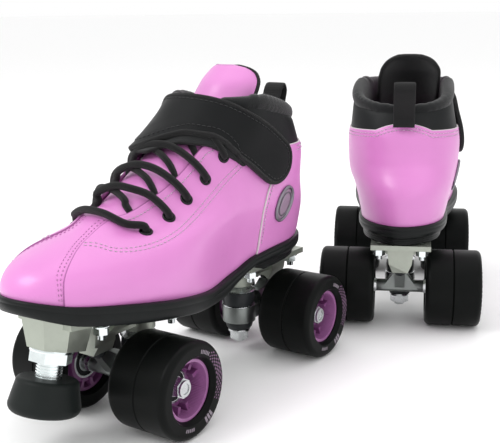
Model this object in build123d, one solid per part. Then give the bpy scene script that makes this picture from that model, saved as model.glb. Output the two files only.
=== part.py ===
"""A pair of quad roller skates: ankle boot, two trucks, four wheels and a toe stop on each.

One skate is modelled in its own frame: toe along -Y, +Z up, +X the outer side of the foot,
the floor at z = 0 and the origin midway between the two axles. Both skates are then moved into
the pair's frame: the right skate is a mirror image, turned and set down behind the left one.
"""

import os
from math import cos, hypot, radians, sin, sqrt, tan

from build123d import *

# ---- driving dimensions, mm ----
WHEELBASE = 162.0
TYRE_RADIUS = 31.0
TYRE_WIDTH = 44.0
TYRE_EDGE_ROUND = 4.0
WHEEL_OFFSET = 42.5
HUB_RADIUS = 19.5
HUB_WALL = 2.2
BEARING_RADIUS = 11.0
BEARING_BORE = 5.6
BEARING_WIDTH = 7.0
AXLE_RADIUS = 3.5
HOUSING_RADIUS = 5.0
KINGPIN_RADIUS = 4.0
KINGPIN_OFFSET = 24.0
PIVOT_OFFSET = 17.0
PIVOT_HEIGHT = 50.0
RING_HEIGHT = 30.5
RING_RADIUS = 12.5
LEATHER = 2.4
STOP_TILT = 15.0
STOP_ROOT = (0.0, -133.0, 62.5)
RUN_FIT = 0.06
STANDING = (Align.CENTER, Align.CENTER, Align.MIN)
BLOCK_TOP = ((20.0, -112.0), (20.0, -134.0), (10.0, -147.0))
BLOCK_BOTTOM = ((13.0, -121.0), (13.0, -136.0), (6.0, -145.0))
STOP_LOW, STOP_HIGH = 17.6, 38.8
STEM_LENGTH = 42.0

# placement of the two skates in the pair's frame
PAIR_SHIFT = (-40.0, -121.3, 0.0)
RIGHT_TURN = -155.0
RIGHT_REAR_AXLE = (74.3, 182.6)

# Sections of the boot: height, toe end, heel end, then half widths at four stations along
# the foot, outer side first and inner side second. Two more stations round off each end.
STATIONS = (0.0, 0.10, 0.33, 0.58, 0.83, 1.0)
TOE_STATION, TOE_FULLNESS = 0.03, 0.62
HEEL_STATION, HEEL_FULLNESS = 0.95, 0.66
LEVELS = (
    (64, -146, 108, (27, 45, 33, 30), (25, 37, 26, 28)),
    (84, -154, 112, (30, 48, 35, 32), (28, 40, 28, 31)),
    (92, -160, 115, (33, 50, 36, 34), (31, 42, 30, 32)),
    (102, -161, 116, (34, 51, 38, 36), (33, 43, 33, 34)),
    (111, -157, 116, (32, 50, 40, 38), (31, 42, 36, 36)),
    (118, -147, 114, (28, 48, 41, 39.5), (27, 41, 37, 38)),
    (123, -131, 111, (24, 45, 41.5, 40.5), (23, 39, 38.5, 40)),
    (128, -110, 108, (21, 41, 41.5, 41), (20, 37, 39, 41)),
    (136, -92, 105, (20, 37, 41.5, 41.5), (20, 34, 39.5, 41.5)),
    (146, -73, 104, (20, 34, 41.5, 41.5), (20, 32, 40, 41.5)),
    (156, -54, 104, (20, 34, 41, 40.5), (20, 32, 40, 41)),
    (167, -35, 100, (21, 35, 40, 38), (20, 34, 39.5, 40)),
    (182, -11, 94, (22, 36, 38.5, 34.5), (20, 35, 40, 38)),
    (202, 9, 88, (24, 37, 38, 32.5), (22, 36.5, 41, 37)),
)
STRETCH_LIMIT = 4.0

# Profiles seen from the side, as (y, z)
SOLE_TOP = (
    (-175, 104), (-161, 100), (-140, 94.5), (-111, 90), (-70, 84), (-26, 79), (4, 81),
    (28, 86), (60, 88), (125, 88.5),
)
SOLE_BOTTOM = (
    (-175, 97), (-161, 91.5), (-140, 83.5), (-111, 78.5), (-75, 74), (-46, 70), (-16, 68),
    (6, 73), (30, 79), (60, 79.5), (125, 79.5),
)
HEEL_BOTTOM = 72.5
HEEL_SEAT = 92.8
QUARTER_TOP = ((-70, 205), (-13, 178), (0, 175), (18, 168), (40, 162), (75, 161), (125, 163))
COLLAR_TOP = (
    (-40, 196), (-8, 197), (8, 198.5), (31, 199), (60, 193.5), (85, 185), (102, 180), (125, 178),
)
COUNTER_EDGE = ((27, 70), (32, 92), (30, 118), (33, 130), (42, 146), (50, 170))
STRAP_OUTLINE = (
    (-36, 163), (-58, 197), (-2, 197), (10, 194), (22, 186.5), (39, 176), (51, 166), (56.5, 157),
    (53, 146), (43, 138.5), (34, 138), (26, 143.5), (12, 155), (-3, 164.5), (-20, 165.5),
)
STRAP_INNER_END = 22.0
THROAT = ((-93, 12), (-80, 17), (-63, 20), (-48, 22), (-16, 24), (-8, 26), (30, 26))

EYELETS = (
    (29.7, -79.8, 126.2), (31.1, -59.4, 131.4), (30.9, -41.4, 139.3), (31.3, -22.0, 149.0),
    (32.6, -3.5, 161.0),
)
LACE_RADIUS = 2.3
LACE_LIFT = 3.7
INNER_EYELETS = 0.93
SIDE_DROP = ((0, 0), (12.4, 6.5), (20, 19), (31, 46), (34, 60))
COLLAR_FIRST_LEVEL = 8
LACED_ROWS = 3


# ---- boot surface ----
def side_points(level, halves):
    """Points down one side of the boot at one level, from toe to heel, as (x, y)."""
    _, toe, heel, _, _ = level
    length = heel - toe
    points = [(halves[0] * TOE_FULLNESS, toe + TOE_STATION * length)]
    points += [(half, toe + STATIONS[i + 1] * length) for i, half in enumerate(halves)]
    points += [(halves[-1] * HEEL_FULLNESS, toe + HEEL_STATION * length)]
    return points


def ring_points(level):
    """Fourteen points round the boot at one level, outer side first, as (x, y)."""
    _, toe, heel, outer, inner = level
    points = [(0.0, toe)] + side_points(level, outer)
    points += [(0.0, heel)]
    points += [(-x, y) for x, y in reversed(side_points(level, inner))]
    return points


def grown_ring(index, grow):
    """The ring at a level moved outward so that the wall is about grow thick on a slope."""
    points = ring_points(LEVELS[index])
    low = max(index - 1, 0)
    high = min(index + 1, len(LEVELS) - 1)
    below = ring_points(LEVELS[low])
    above = ring_points(LEVELS[high])
    rise = LEVELS[high][0] - LEVELS[low][0]
    moved = []
    for i, (x, y) in enumerate(points):
        before = points[i - 1]
        after = points[(i + 1) % len(points)]
        tangent = (after[0] - before[0], after[1] - before[1])
        size = hypot(*tangent)
        normal = (tangent[1] / size, -tangent[0] / size)
        travel = (above[i][0] - below[i][0]) * normal[0] + (above[i][1] - below[i][1]) * normal[1]
        stretch = min(sqrt(1 + (travel / rise) ** 2), STRETCH_LIMIT)
        moved.append((x + normal[0] * grow * stretch, y + normal[1] * grow * stretch))
    return moved


def boot_body(grow, first=0):
    """The boot outline from one level upward as one solid, grown outward by grow."""
    sections = []
    for index in range(first, len(LEVELS)):
        points = [Vector(x, y, LEVELS[index][0]) for x, y in grown_ring(index, grow)]
        sections.append(make_face(Wire([Edge.make_spline(points, periodic=True)])))
    return loft(sections)


def between(value, table):
    """Straight-line reading of a table of (input, output) pairs."""
    for (x0, y0), (x1, y1) in zip(table, table[1:]):
        if value <= x1:
            return y0 + (y1 - y0) * (value - x0) / (x1 - x0)
    return table[-1][1]


def top_height(x, y):
    """Height of the top of the boot over the foot: centre line, dropping towards the sides."""
    centre = [(toe, height) for height, toe, _, _, _ in LEVELS[4:]]
    return between(y - between(abs(x), SIDE_DROP), centre)


def side_region(points, x_from=-90.0, x_to=90.0):
    """A closed outline drawn in the YZ plane and extruded across the boot."""
    corners = [Vector(x_from, y, z) for y, z in points]
    wire = Wire.make_polygon(corners, close=True)
    return extrude(make_face(wire), amount=x_to - x_from, dir=(1, 0, 0))


def under_profile(profile, floor, x_from=-90.0, x_to=90.0):
    """Everything below a smooth line drawn from the side, down to floor."""
    top = Edge.make_spline([Vector(x_from, y, z) for y, z in profile])
    first, last = profile[0], profile[-1]
    down = Edge.make_line(Vector(x_from, last[0], last[1]), Vector(x_from, last[0], floor))
    base = Edge.make_line(Vector(x_from, last[0], floor), Vector(x_from, first[0], floor))
    rise = Edge.make_line(Vector(x_from, first[0], floor), Vector(x_from, first[0], first[1]))
    face = make_face(Wire([top, down, base, rise]))
    return extrude(face, amount=x_to - x_from, dir=(1, 0, 0))


def over_profile(profile, ceiling=240.0):
    """Everything above a smooth line drawn from the side, up to ceiling."""
    return under_profile(profile, ceiling)


def throat_cutter():
    """The laced opening on top of the foot, seen from above."""
    right = [Vector(half, y, 60) for y, half in THROAT]
    left = [Vector(-half, y, 60) for y, half in reversed(THROAT)]
    edges = [
        Edge.make_spline(right),
        Edge.make_line(right[-1], left[0]),
        Edge.make_spline(left),
        Edge.make_three_point_arc(left[-1], Vector(0, THROAT[0][0] - 4, 60), right[0]),
    ]
    shape = extrude(make_face(Wire(edges)), amount=170, dir=(0, 0, 1))
    return shape & Pos(0, -30, 165) * Box(200, 130, 90)


def outline_slab(grow, bottom, top, level=2):
    """The plan outline of the boot at one level, grown and extruded between two heights."""
    points = [Vector(x, y, bottom) for x, y in grown_ring(level, grow)]
    outline = make_face(Wire([Edge.make_spline(points, periodic=True)]))
    return extrude(outline, amount=top - bottom, dir=(0, 0, 1))


# ---- boot parts ----
def make_sole():
    band = outline_slab(2.6, 60, 112) & under_profile(SOLE_TOP, 40)
    band = band - under_profile(SOLE_BOTTOM, 40)
    heel = outline_slab(0.2, HEEL_BOTTOM, 79.4, level=1)
    heel = heel & Pos(0, 90, 76) * Box(120, 98, 30)
    return [band, heel]


def make_upper(skin, lining):
    shell = skin - lining
    shell = shell - under_profile(SOLE_TOP, 40)
    shell = shell - over_profile(QUARTER_TOP)
    return shell - throat_cutter()


def make_insole(lining):
    raised = [(y, z + 5.0) for y, z in SOLE_TOP]
    bed = lining & under_profile(raised, 40)
    bed = bed - Pos(0, 90, HEEL_SEAT + 10) * Box(120, 110, 20)
    return bed - under_profile(SOLE_TOP, 40)


def make_counter(skin):
    shell = boot_body(1.5) - skin
    shell = shell & under_profile(QUARTER_TOP, 40)
    shell = shell - under_profile([(y, z + 0.3) for y, z in SOLE_TOP], 40)
    behind = [(130, 60)] + list(COUNTER_EDGE) + [(130, 170)]
    return shell & side_region(behind)


def make_collar():
    pad = boot_body(1.4, COLLAR_FIRST_LEVEL) - boot_body(-7.0, COLLAR_FIRST_LEVEL)
    pad = pad & under_profile(COLLAR_TOP, 40)
    pad = pad - under_profile([(y, z + 0.2) for y, z in QUARTER_TOP], 40)
    pad = pad & boot_body(2.6)
    front = Pos(0, -15, 180) * Box(54, 90, 90)
    return pad - front


def make_tongue():
    """A curved pad under the laces whose free end leans back into the ankle opening."""
    rows = (
        # height, front, half width, side set back, thickness along y, middle
        (127, -99, 16, 13, 7, 2), (136, -84.5, 19, 19, 8, 2), (146, -66, 22, 23, 8.5, 2),
        (156, -48, 23, 24, 8.5, 2), (167, -29, 23.5, 24, 8, 2), (178, -9, 23.5, 21, 7.5, 2),
        (188, 8, 24, 20, 7, 2.5), (198, 18, 24, 20, 6.5, 3), (207, 25, 23, 19, 6, 4),
        (213, 32, 19.5, 15, 5.5, 4), (216.5, 36, 14.5, 9, 5, 4), (218, 38, 9, 4, 4, 3.5),
    )
    sections = []
    for height, front, half, back, thick, middle in rows:
        near = [
            Vector(middle - half, front + back, height),
            Vector(middle, front, height),
            Vector(middle + half, front + back, height),
        ]
        far = [v + Vector(0, thick, 0) for v in near]
        edges = [
            Edge.make_three_point_arc(*near),
            Edge.make_line(near[2], far[2]),
            Edge.make_three_point_arc(far[2], far[1], far[0]),
            Edge.make_line(far[0], near[0]),
        ]
        sections.append(make_face(Wire(edges)))
    return loft(sections)


def make_strap():
    band = boot_body(5.4) - boot_body(3.0)
    band = band & side_region(STRAP_OUTLINE)
    inner_end = Pos(-60, STRAP_INNER_END + 60, 170) * Box(120, 120, 120)
    over_laces = Pos(2, -44, 158) * Box(60, 84, 33)
    return band - inner_end - over_laces


def make_pull_loop():
    """Webbing that runs up the back of the boot and folds over into a finger loop."""
    width = 16.0
    thick = 1.8
    outer = [(107.8, 164.5), (107, 173), (108.8, 181), (112, 190)]
    inner = [(104.5, 192), (100.5, 186), (95.5, 181)]
    path = [Vector(0, y, z) for y, z in outer]
    top = Vector(0, 110, 199.5)
    back = [Vector(0, y, z) for y, z in inner]
    line = Edge.make_spline(path + [top] + back)
    wire = Wire([line])
    section = Plane(origin=line @ 0, z_dir=line % 0, x_dir=(1, 0, 0)) * Rectangle(width, thick)
    return sweep(section, path=wire)


def make_badge():
    ring = boot_body(3.2) - boot_body(1.7)
    post = Pos(50, 54, 119.5) * Rot(0, 90, 0) * Cylinder(11.0, 60)
    return ring & post


def make_eyelets():
    """Short flanged rings round the lace holes, five on each side of the throat."""
    rings = []
    for side in (1, -1):
        for x, y, z in eyelet_row(side):
            place = Pos(x, y, z + 1.2) * Rot(-24, side * 38.0, 0)
            rings.append(place * (Cylinder(4.4, 1.0) - Cylinder(2.5, 4)))
    return rings


def eyelet_row(side):
    """Centres of the lace holes on the outer (1) or inner (-1) side of the throat."""
    narrow = 1.0 if side > 0 else INNER_EYELETS
    return [(side * x * narrow, y, z) for x, y, z in EYELETS]


def lace_run(points):
    path = FilletPolyline(*points, radius=lace_radii(points))
    section = Plane(origin=path @ 0, z_dir=path % 0) * Circle(LACE_RADIUS)
    return sweep(section, path=path)


def lace_radii(points):
    radii = []
    for i in range(1, len(points) - 1):
        before = Vector(*points[i]) - Vector(*points[i - 1])
        after = Vector(*points[i + 1]) - Vector(*points[i])
        turn = radians(before.get_angle(after))
        radii.append(0.45 * min(before.length, after.length) / tan(turn / 2))
    return radii


def lace_point(x, y, lift):
    return (x, y, top_height(x, y) + lift)


def make_laces():
    """Bottom bar and the crossings in front of the strap, each from the throat edge to its eyelet."""
    ends = {side: eyelet_row(side) for side in (1, -1)}
    x, y, z = ends[1][0]
    bar = [(x, y, z + LACE_LIFT)]
    bar += [lace_point(across, y - 7.5, LACE_LIFT + 0.8) for across in (20.0, 1.0, -18.5)]
    x, y, z = ends[-1][0]
    bar.append((x, y, z + LACE_LIFT))
    runs = [lace_run(bar)]
    for row in range(LACED_ROWS):
        for side in (1, -1):
            start_y = ends[side][row][1] + 3.0
            x, y, z = ends[-side][row + 1]
            over = LACE_LIFT if side > 0 else LACE_LIFT + 5.4
            run = [
                lace_point(side * 19.0, start_y, -5.6),
                lace_point(side * 11.0, start_y - 1.0, over - 1.5),
                lace_point(side * 0.5, start_y - 1.5, over + 0.5),
                lace_point(-side * 13.0, start_y + 1.5, over - 0.5),
                lace_point(-side * 23.0, y - 4.5, LACE_LIFT),
                (x, y, z + LACE_LIFT),
            ]
            runs.append(lace_run(run))
    return runs


# ---- running gear ----
def truck_frame(front):
    """Axle row, direction of the pivot from the axle, for the front or the rear truck."""
    axle = -WHEELBASE / 2 if front else WHEELBASE / 2
    toward_pivot = -1.0 if front else 1.0
    return axle, toward_pivot


def yz_plate(points, thickness, x_centre=0.0):
    corners = [Vector(x_centre - thickness / 2, y, z) for y, z in points]
    return extrude(make_face(Wire.make_polygon(corners, close=True)), amount=thickness, dir=(1, 0, 0))


def xz_plate(points, y_from, y_to):
    corners = [Vector(x, y_from, z) for x, z in points]
    return extrude(make_face(Wire.make_polygon(corners, close=True)), amount=y_to - y_from, dir=(0, 1, 0))


def make_hanger(front):
    axle, s = truck_frame(front)
    ring_y = axle - s * KINGPIN_OFFSET
    pivot = Vector(0, axle + s * PIVOT_OFFSET, PIVOT_HEIGHT)
    z = TYRE_RADIUS
    ring = Pos(0, ring_y, RING_HEIGHT) * Cylinder(RING_RADIUS, 12)
    housing = Pos(0, axle, z) * Rot(0, 90, 0) * Cylinder(HOUSING_RADIUS, 38)
    spread = xz_plate([(-15, z - 2), (15, z - 2), (5, z + 12), (-5, z + 12)], axle - 5, axle + 5)
    web = yz_plate([
        (ring_y - s * 2, RING_HEIGHT + 5.5), (ring_y - s * 2, RING_HEIGHT - 5.5), (axle, z - 5.0),
        (axle + s * 4.5, z - 1), (axle + s * (PIVOT_OFFSET - 1), PIVOT_HEIGHT - 5),
        (axle + s * 10, PIVOT_HEIGHT - 1.5),
        (axle - s * 2, z + 9),
    ], 8.0)
    cheek = yz_plate([
        (ring_y + s * 6, RING_HEIGHT + 5), (ring_y + s * 6, RING_HEIGHT - 5), (axle, z - 4.5), (axle, z + 4.5),
    ], 20.0)
    ring_mid = Vector(0, ring_y, RING_HEIGHT)
    line = (pivot - ring_mid).normalized()
    stub = Plane(origin=pivot - line * 8, z_dir=line) * Cylinder(3.4, 9, align=STANDING)
    tip = Pos(*pivot) * Sphere(3.4)
    body = ring + housing + spread + web + cheek + stub + tip
    body = body - Pos(0, ring_y, RING_HEIGHT) * Cylinder(7.2, 60)
    body = body - Pos(0, axle, z) * Rot(0, 90, 0) * Cylinder(AXLE_RADIUS, 60)
    return body


def make_axle(front):
    """Axle rod, with the inner sleeves, speed washers and lock nuts of both wheels."""
    axle, _ = truck_frame(front)
    place = Pos(0, axle, TYRE_RADIUS) * Rot(0, 90, 0)
    rod = place * Cylinder(AXLE_RADIUS, 114)
    pieces = [rod]
    inner_face = WHEEL_OFFSET - 17.0
    outer_face = WHEEL_OFFSET + 6.5
    for side in (1, -1):
        sleeve_mid = (inner_face + outer_face) / 2
        sleeve = Cylinder(BEARING_BORE - RUN_FIT, outer_face - inner_face) - Cylinder(AXLE_RADIUS, 60)
        pieces.append(place * Pos(0, 0, side * sleeve_mid) * sleeve)
        spacer = Cylinder(BEARING_BORE - RUN_FIT, inner_face - 19.0) - Cylinder(AXLE_RADIUS, 60)
        pieces.append(place * Pos(0, 0, side * (inner_face + 19.0) / 2) * spacer)
        washer = Cylinder(6.4, 1.0) - Cylinder(AXLE_RADIUS, 4)
        pieces.append(place * Pos(0, 0, side * (outer_face + 0.5 + RUN_FIT)) * washer)
        nut = extrude(RegularPolygon(6.8, 6), amount=6.0) - Cylinder(AXLE_RADIUS, 30)
        nut = nut + Pos(0, 0, 6.8) * (Cylinder(5.2, 1.6) - Cylinder(AXLE_RADIUS, 4))
        start = outer_face + 1.0 + RUN_FIT
        turned = Rot(0, 0, 0) if side > 0 else Rot(180, 0, 0)
        pieces.append(place * Pos(0, 0, side * start) * turned * nut)
    return pieces


def make_tyre(front, outer):
    place = wheel_place(front, outer)
    half = TYRE_WIDTH / 2
    edge = TYRE_EDGE_ROUND
    r = TYRE_RADIUS
    lines = [
        Line((HUB_RADIUS, -half + 3), (HUB_RADIUS + 2, -half)),
        Line((HUB_RADIUS + 2, -half), (r - edge, -half)),
        ThreePointArc(
            (r - edge, -half), (r - edge + edge * 0.7071, -half + edge * 0.2929), (r, -half + edge)
        ),
        Line((r, -half + edge), (r, -0.7)),
        Line((r, -0.7), (r - 0.9, 0)),
        Line((r - 0.9, 0), (r, 0.7)),
        Line((r, 0.7), (r, half - edge)),
        ThreePointArc((r, half - edge), (r - edge + edge * 0.7071, half - edge * 0.2929), (r - edge, half)),
        Line((r - edge, half), (HUB_RADIUS + 2, half)),
        Line((HUB_RADIUS + 2, half), (HUB_RADIUS, half - 3)),
        Line((HUB_RADIUS, half - 3), (HUB_RADIUS, -half + 3)),
    ]
    face = make_face(Wire([line.edge() for line in lines]))
    return place * revolve(face, axis=Axis.Y)


def wheel_place(front, outer):
    """Wheel frame: local +Y is the axle direction, pointing away from the skate's middle."""
    axle, _ = truck_frame(front)
    side = 1 if outer else -1
    return Pos(side * WHEEL_OFFSET, axle, TYRE_RADIUS) * Rot(0, 0, -90 * side)


def make_hub(front, outer):
    """Hub: rim, core, web and three pairs of ribs, with its two bearings as solids."""
    place = wheel_place(front, outer)
    turn = Rot(-90, 0, 0)
    rim = Cylinder(HUB_RADIUS, 36) - Cylinder(HUB_RADIUS - HUB_WALL, 40)
    core_low, core_high = -17.0, 6.5
    core = Pos(0, 0, (core_low + core_high) / 2) * Cylinder(13.6, core_high - core_low)
    web = Pos(0, 0, -7.0) * Cylinder(HUB_RADIUS - 0.5, 4.0)
    body = rim + core + web
    rib = Pos(15.2, 0, 3.0) * Box(6.5, 2.6, 18.0)
    back_rib = Pos(15.2, 0, -13.0) * Box(6.5, 2.6, 10.0)
    for pair in range(3):
        for lean in (-16.0, 16.0):
            turn_rib = Rot(0, 0, 120 * pair + 95 + lean)
            body = body + turn_rib * rib
            body = body + turn_rib * back_rib
    body = body - Cylinder(BEARING_RADIUS - 1.6, 80)
    body = body - Pos(0, 0, core_high - BEARING_WIDTH / 2) * Cylinder(BEARING_RADIUS, BEARING_WIDTH)
    body = body - Pos(0, 0, core_low + BEARING_WIDTH / 2) * Cylinder(BEARING_RADIUS, BEARING_WIDTH)
    pieces = [place * turn * body]
    for middle in (core_high - BEARING_WIDTH / 2, core_low + BEARING_WIDTH / 2):
        bearing = Cylinder(BEARING_RADIUS, BEARING_WIDTH) - Cylinder(BEARING_BORE, 20)
        groove = Cylinder(9.4, 0.6) - Cylinder(6.6, 2)
        bearing = bearing - Pos(0, 0, BEARING_WIDTH / 2 - 0.3) * groove
        bearing = bearing - Pos(0, 0, -BEARING_WIDTH / 2 + 0.3) * groove
        pieces.append(place * turn * Pos(0, 0, middle) * bearing)
    return pieces


def make_base(front):
    """Cast base: flange under the sole, kingpin boss, pivot post, and the toe stop block."""
    axle, s = truck_frame(front)
    ring_y = axle - s * KINGPIN_OFFSET
    pivot_y = axle + s * PIVOT_OFFSET
    if front:
        top_rear, top_front, low = (-38.0, 68.5), (-138.0, 82.1), 4.0
    else:
        top_rear, top_front, low = (112.0, HEEL_BOTTOM), (40.0, HEEL_BOTTOM), 4.0
    flange_side = [
        (top_rear[0], top_rear[1]), (top_front[0], top_front[1]),
        (top_front[0], top_front[1] - low), (top_rear[0], top_rear[1] - low),
    ]
    flange = yz_plate(flange_side, 47.0 if not front else 44.0)
    post_low = PIVOT_HEIGHT - 1.0
    post_outline = [(-11, 72), (11, 72), (9, 56), (6, post_low), (-6, post_low), (-9, 56)]
    post = xz_plate(post_outline, pivot_y - 9.0, pivot_y + 9.0)
    boss = Pos(0, ring_y, 61.0) * Cylinder(11.0, 16.0)
    link = yz_plate([(ring_y, 70), (ring_y, 57), (pivot_y, 57), (pivot_y, 70)], 12.0)
    wing = xz_plate([(-20, 71), (20, 71), (11, 62), (-11, 62)], min(ring_y, pivot_y), max(ring_y, pivot_y))
    body = flange + post + boss + link + wing
    if front:
        block = loft([nose_face(BLOCK_TOP, 90.0), nose_face(BLOCK_BOTTOM, 54.0)])
        body = body + block
        direction = Vector(0, -sin(radians(STOP_TILT)), -cos(radians(STOP_TILT)))
        face_plane = Plane(origin=Vector(*STOP_ROOT), z_dir=direction, x_dir=(1, 0, 0))
        body = body - face_plane * Box(90, 60, 40, align=STANDING)
        body = body - over_profile(SOLE_BOTTOM)
        body = body - face_plane * Cylinder(8.0, 40)
    hole = Pos(0, ring_y, 60) * Cylinder(KINGPIN_RADIUS, 30)
    body = body - hole
    ring_mid = Vector(0, ring_y, RING_HEIGHT)
    pivot = Vector(0, pivot_y, PIVOT_HEIGHT)
    line = (pivot - ring_mid).normalized()
    cup = Plane(origin=pivot - line * 14, z_dir=line) * Cylinder(5.4, 18.2, align=STANDING)
    body = body - cup
    if not front:
        body = body - Pos(0, 76, HEEL_BOTTOM + 10) * Box(90, 120, 20)
    for x, y in bolt_places(front):
        body = body - Pos(x, y, 70) * Cylinder(2.6, 40)
    return body


def nose_face(outline, height):
    """One section of the toe stop block: square at the back, cut off at its front corners."""
    corners = [Vector(x, y, height) for x, y in outline]
    corners += [Vector(-x, y, height) for x, y in reversed(outline)]
    return make_face(Wire.make_polygon(corners, close=True))


def bolt_places(front):
    rows = (-44.0, -109.0) if front else (48.0, 103.0)
    return [(x, y) for x in (-17.0, 17.0) for y in rows]


def flange_bottom(front, y):
    if not front:
        return HEEL_BOTTOM - 4.0
    return 68.5 + (84.0 - 68.5) * (y + 38.0) / (-152.0 + 38.0) - 4.0


def make_fasteners():
    """Mounting bolts with nuts and washers, four on each base, and the toe stop's clamp nut."""
    pieces = []
    for front in (True, False):
        for x, y in bolt_places(front):
            seat = flange_bottom(front, y) - (1.3 if front else 0.1)
            bolt = Pos(x, y, seat - 9.0) * Cylinder(2.5, 12.6, align=STANDING)
            nut = Pos(x, y, seat - 5.6) * extrude(RegularPolygon(4.9, 6), amount=4.6)
            washer = Pos(x, y, seat - 1.0) * Cylinder(5.6, 1.0, align=STANDING)
            pieces.append(bolt + nut + washer)
    washer = Pos(0, 0, 0.1) * (Cylinder(13.0, 1.8, align=STANDING) - Cylinder(8.0, 8))
    nut = Pos(0, 0, 1.9) * extrude(RegularPolygon(13.0, 6) - Circle(8.0), amount=6.2)
    return pieces + [stop_plane(0) * washer, stop_plane(0) * nut]


def make_kingpins():
    """Kingpin, cup washers and adjusting nut of both trucks."""
    pieces = []
    for front in (True, False):
        axle, s = truck_frame(front)
        y = axle - s * KINGPIN_OFFSET
        pin = Pos(0, y, 8.0) * Cylinder(KINGPIN_RADIUS - 0.02, 62.0, align=STANDING)
        dome = Pos(0, y, 48.6) * Cone(12.6, 7.0, 4.2, align=STANDING)
        low_washer = Pos(0, y, 16.4) * Cylinder(8.6, 1.6, align=STANDING)
        nut = Pos(0, y, 10.2) * extrude(RegularPolygon(7.6, 6), amount=6.2)
        pieces.append(pin + dome + low_washer + nut)
    return pieces


def make_cushions():
    """Upper and lower cushions and the pivot cup of both trucks."""
    pieces = []
    tight = KINGPIN_RADIUS
    for front in (True, False):
        axle, s = truck_frame(front)
        y = axle - s * KINGPIN_OFFSET
        upper = Pos(0, y, 38.8) * Cylinder(11.6, 9.8, align=STANDING)
        lower = Pos(0, y, 18.0) * Cone(8.6, 9.6, 4.2, align=STANDING)
        pieces.append(upper - Pos(0, y, 40) * Cylinder(tight, 40))
        pieces.append(lower - Pos(0, y, 20) * Cylinder(tight, 40))
        ring_mid = Vector(0, y, RING_HEIGHT)
        pivot = Vector(0, axle + s * PIVOT_OFFSET, PIVOT_HEIGHT)
        line = (pivot - ring_mid).normalized()
        cup_plane = Plane(origin=pivot - line * 2.0, z_dir=line)
        cup = cup_plane * Cylinder(5.4, 6.2, align=STANDING)
        cup = cup - Pos(*pivot) * Sphere(3.4 + 0.3)
        cup = cup - cup_plane * Pos(0, 0, -10) * Cylinder(3.4 + 0.3, 12, align=STANDING)
        pieces.append(cup)
    return pieces


def stop_plane(distance):
    lean = radians(STOP_TILT)
    direction = Vector(0, -sin(lean), -cos(lean))
    return Plane(origin=Vector(*STOP_ROOT) + direction * distance, z_dir=direction, x_dir=(1, 0, 0))


def make_toe_stop():
    """Rubber stop turned about its tilted stem."""
    low, high = STOP_LOW, STOP_HIGH
    lines = [
        Line((0, low), (15.8, low)),
        ThreePointArc((15.8, low), (18.0, low + 0.9), (18.8, low + 3.0)),
        Line((18.8, low + 3.0), (21.4, high - 6.0)),
        ThreePointArc((21.4, high - 6.0), (20.4, high - 1.8), (16.5, high)),
        Line((16.5, high), (0, high)),
        Line((0, high), (0, low)),
    ]
    body = revolve(Plane.XZ * make_face(Wire([line.edge() for line in lines])), axis=Axis.Z)
    body = body - Cylinder(7.9, 2 * (STEM_LENGTH - 12))
    return stop_plane(0) * body


def make_stop_stem():
    """Threaded stem of the toe stop."""
    stem = Pos(0, 0, -12) * Cylinder(7.9, STEM_LENGTH, align=STANDING)
    for step in range(7):
        groove = Cylinder(9, 0.9) - Cylinder(7.2, 2)
        stem = stem - Pos(0, 0, 9.8 + step * 1.7) * groove
    return stop_plane(0) * stem


# ---- assembly ----
def skate_nodes():
    skin = boot_body(0.0)
    lining = boot_body(-LEATHER)
    nodes = {
        "sole": make_sole(),
        "upper": [make_upper(skin, lining)],
        "insole": [make_insole(lining)],
        "heel_counter": [make_counter(skin)],
        "collar": [make_collar()],
        "tongue": [make_tongue()],
        "strap": [make_strap()],
        "pull_loop": [make_pull_loop()],
        "badge": [make_badge()],
        "eyelets": make_eyelets(),
        "laces": make_laces(),
        "base_fasteners": make_fasteners(),
        "kingpins": make_kingpins(),
        "cushions": make_cushions(),
        "toe_stop": [make_toe_stop()],
        "toe_stop_stem": [make_stop_stem()],
    }
    for front in (True, False):
        where = "front" if front else "rear"
        nodes[where + "_base"] = [make_base(front)]
        nodes[where + "_hanger"] = [make_hanger(front)]
        nodes[where + "_axle"] = make_axle(front)
        for outer in (True, False):
            side = "outer" if outer else "inner"
            nodes[where + "_" + side + "_tyre"] = [make_tyre(front, outer)]
            nodes[where + "_" + side + "_hub"] = make_hub(front, outer)
    return nodes


def place_left(solid):
    return Pos(*PAIR_SHIFT) * solid


def place_right(solid):
    mirrored = mirror(solid, about=Plane.YZ)
    turn = radians(RIGHT_TURN)
    rear = WHEELBASE / 2
    shift = (RIGHT_REAR_AXLE[0] + rear * sin(turn), RIGHT_REAR_AXLE[1] - rear * cos(turn), 0)
    return Pos(*PAIR_SHIFT) * Pos(*shift) * Rot(0, 0, RIGHT_TURN) * mirrored


def write_nodes():
    os.makedirs("parts", exist_ok=True)
    for name, pieces in skate_nodes().items():
        solids = [solid for piece in pieces for solid in piece.solids()]
        for side, place in (("left", place_left), ("right", place_right)):
            node = side + "_" + name
            placed = [place(solid) for solid in solids]
            shape = placed[0] if len(placed) == 1 else Compound(children=placed)
            export_step(shape, "parts/" + node + ".step")
            box = shape.bounding_box()
            print(node, len(placed), round(shape.volume), [round(v, 3) for v in (*box.min, *box.max)])


write_nodes()
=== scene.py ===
"""Looks of a pair of quad roller skates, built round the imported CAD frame.

Each skate's soft goods are made once in the skate's own frame, in millimetres, with the toe along
-Y, the outer side of the foot along +X and the floor at z = 0. They are then set down twice: as
they are for the left skate, and mirrored for the right one. Hard parts keep their CAD meshes.
"""

import math

import bpy
import numpy as np
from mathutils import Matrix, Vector
from mathutils.bvhtree import BVHTree


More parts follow.
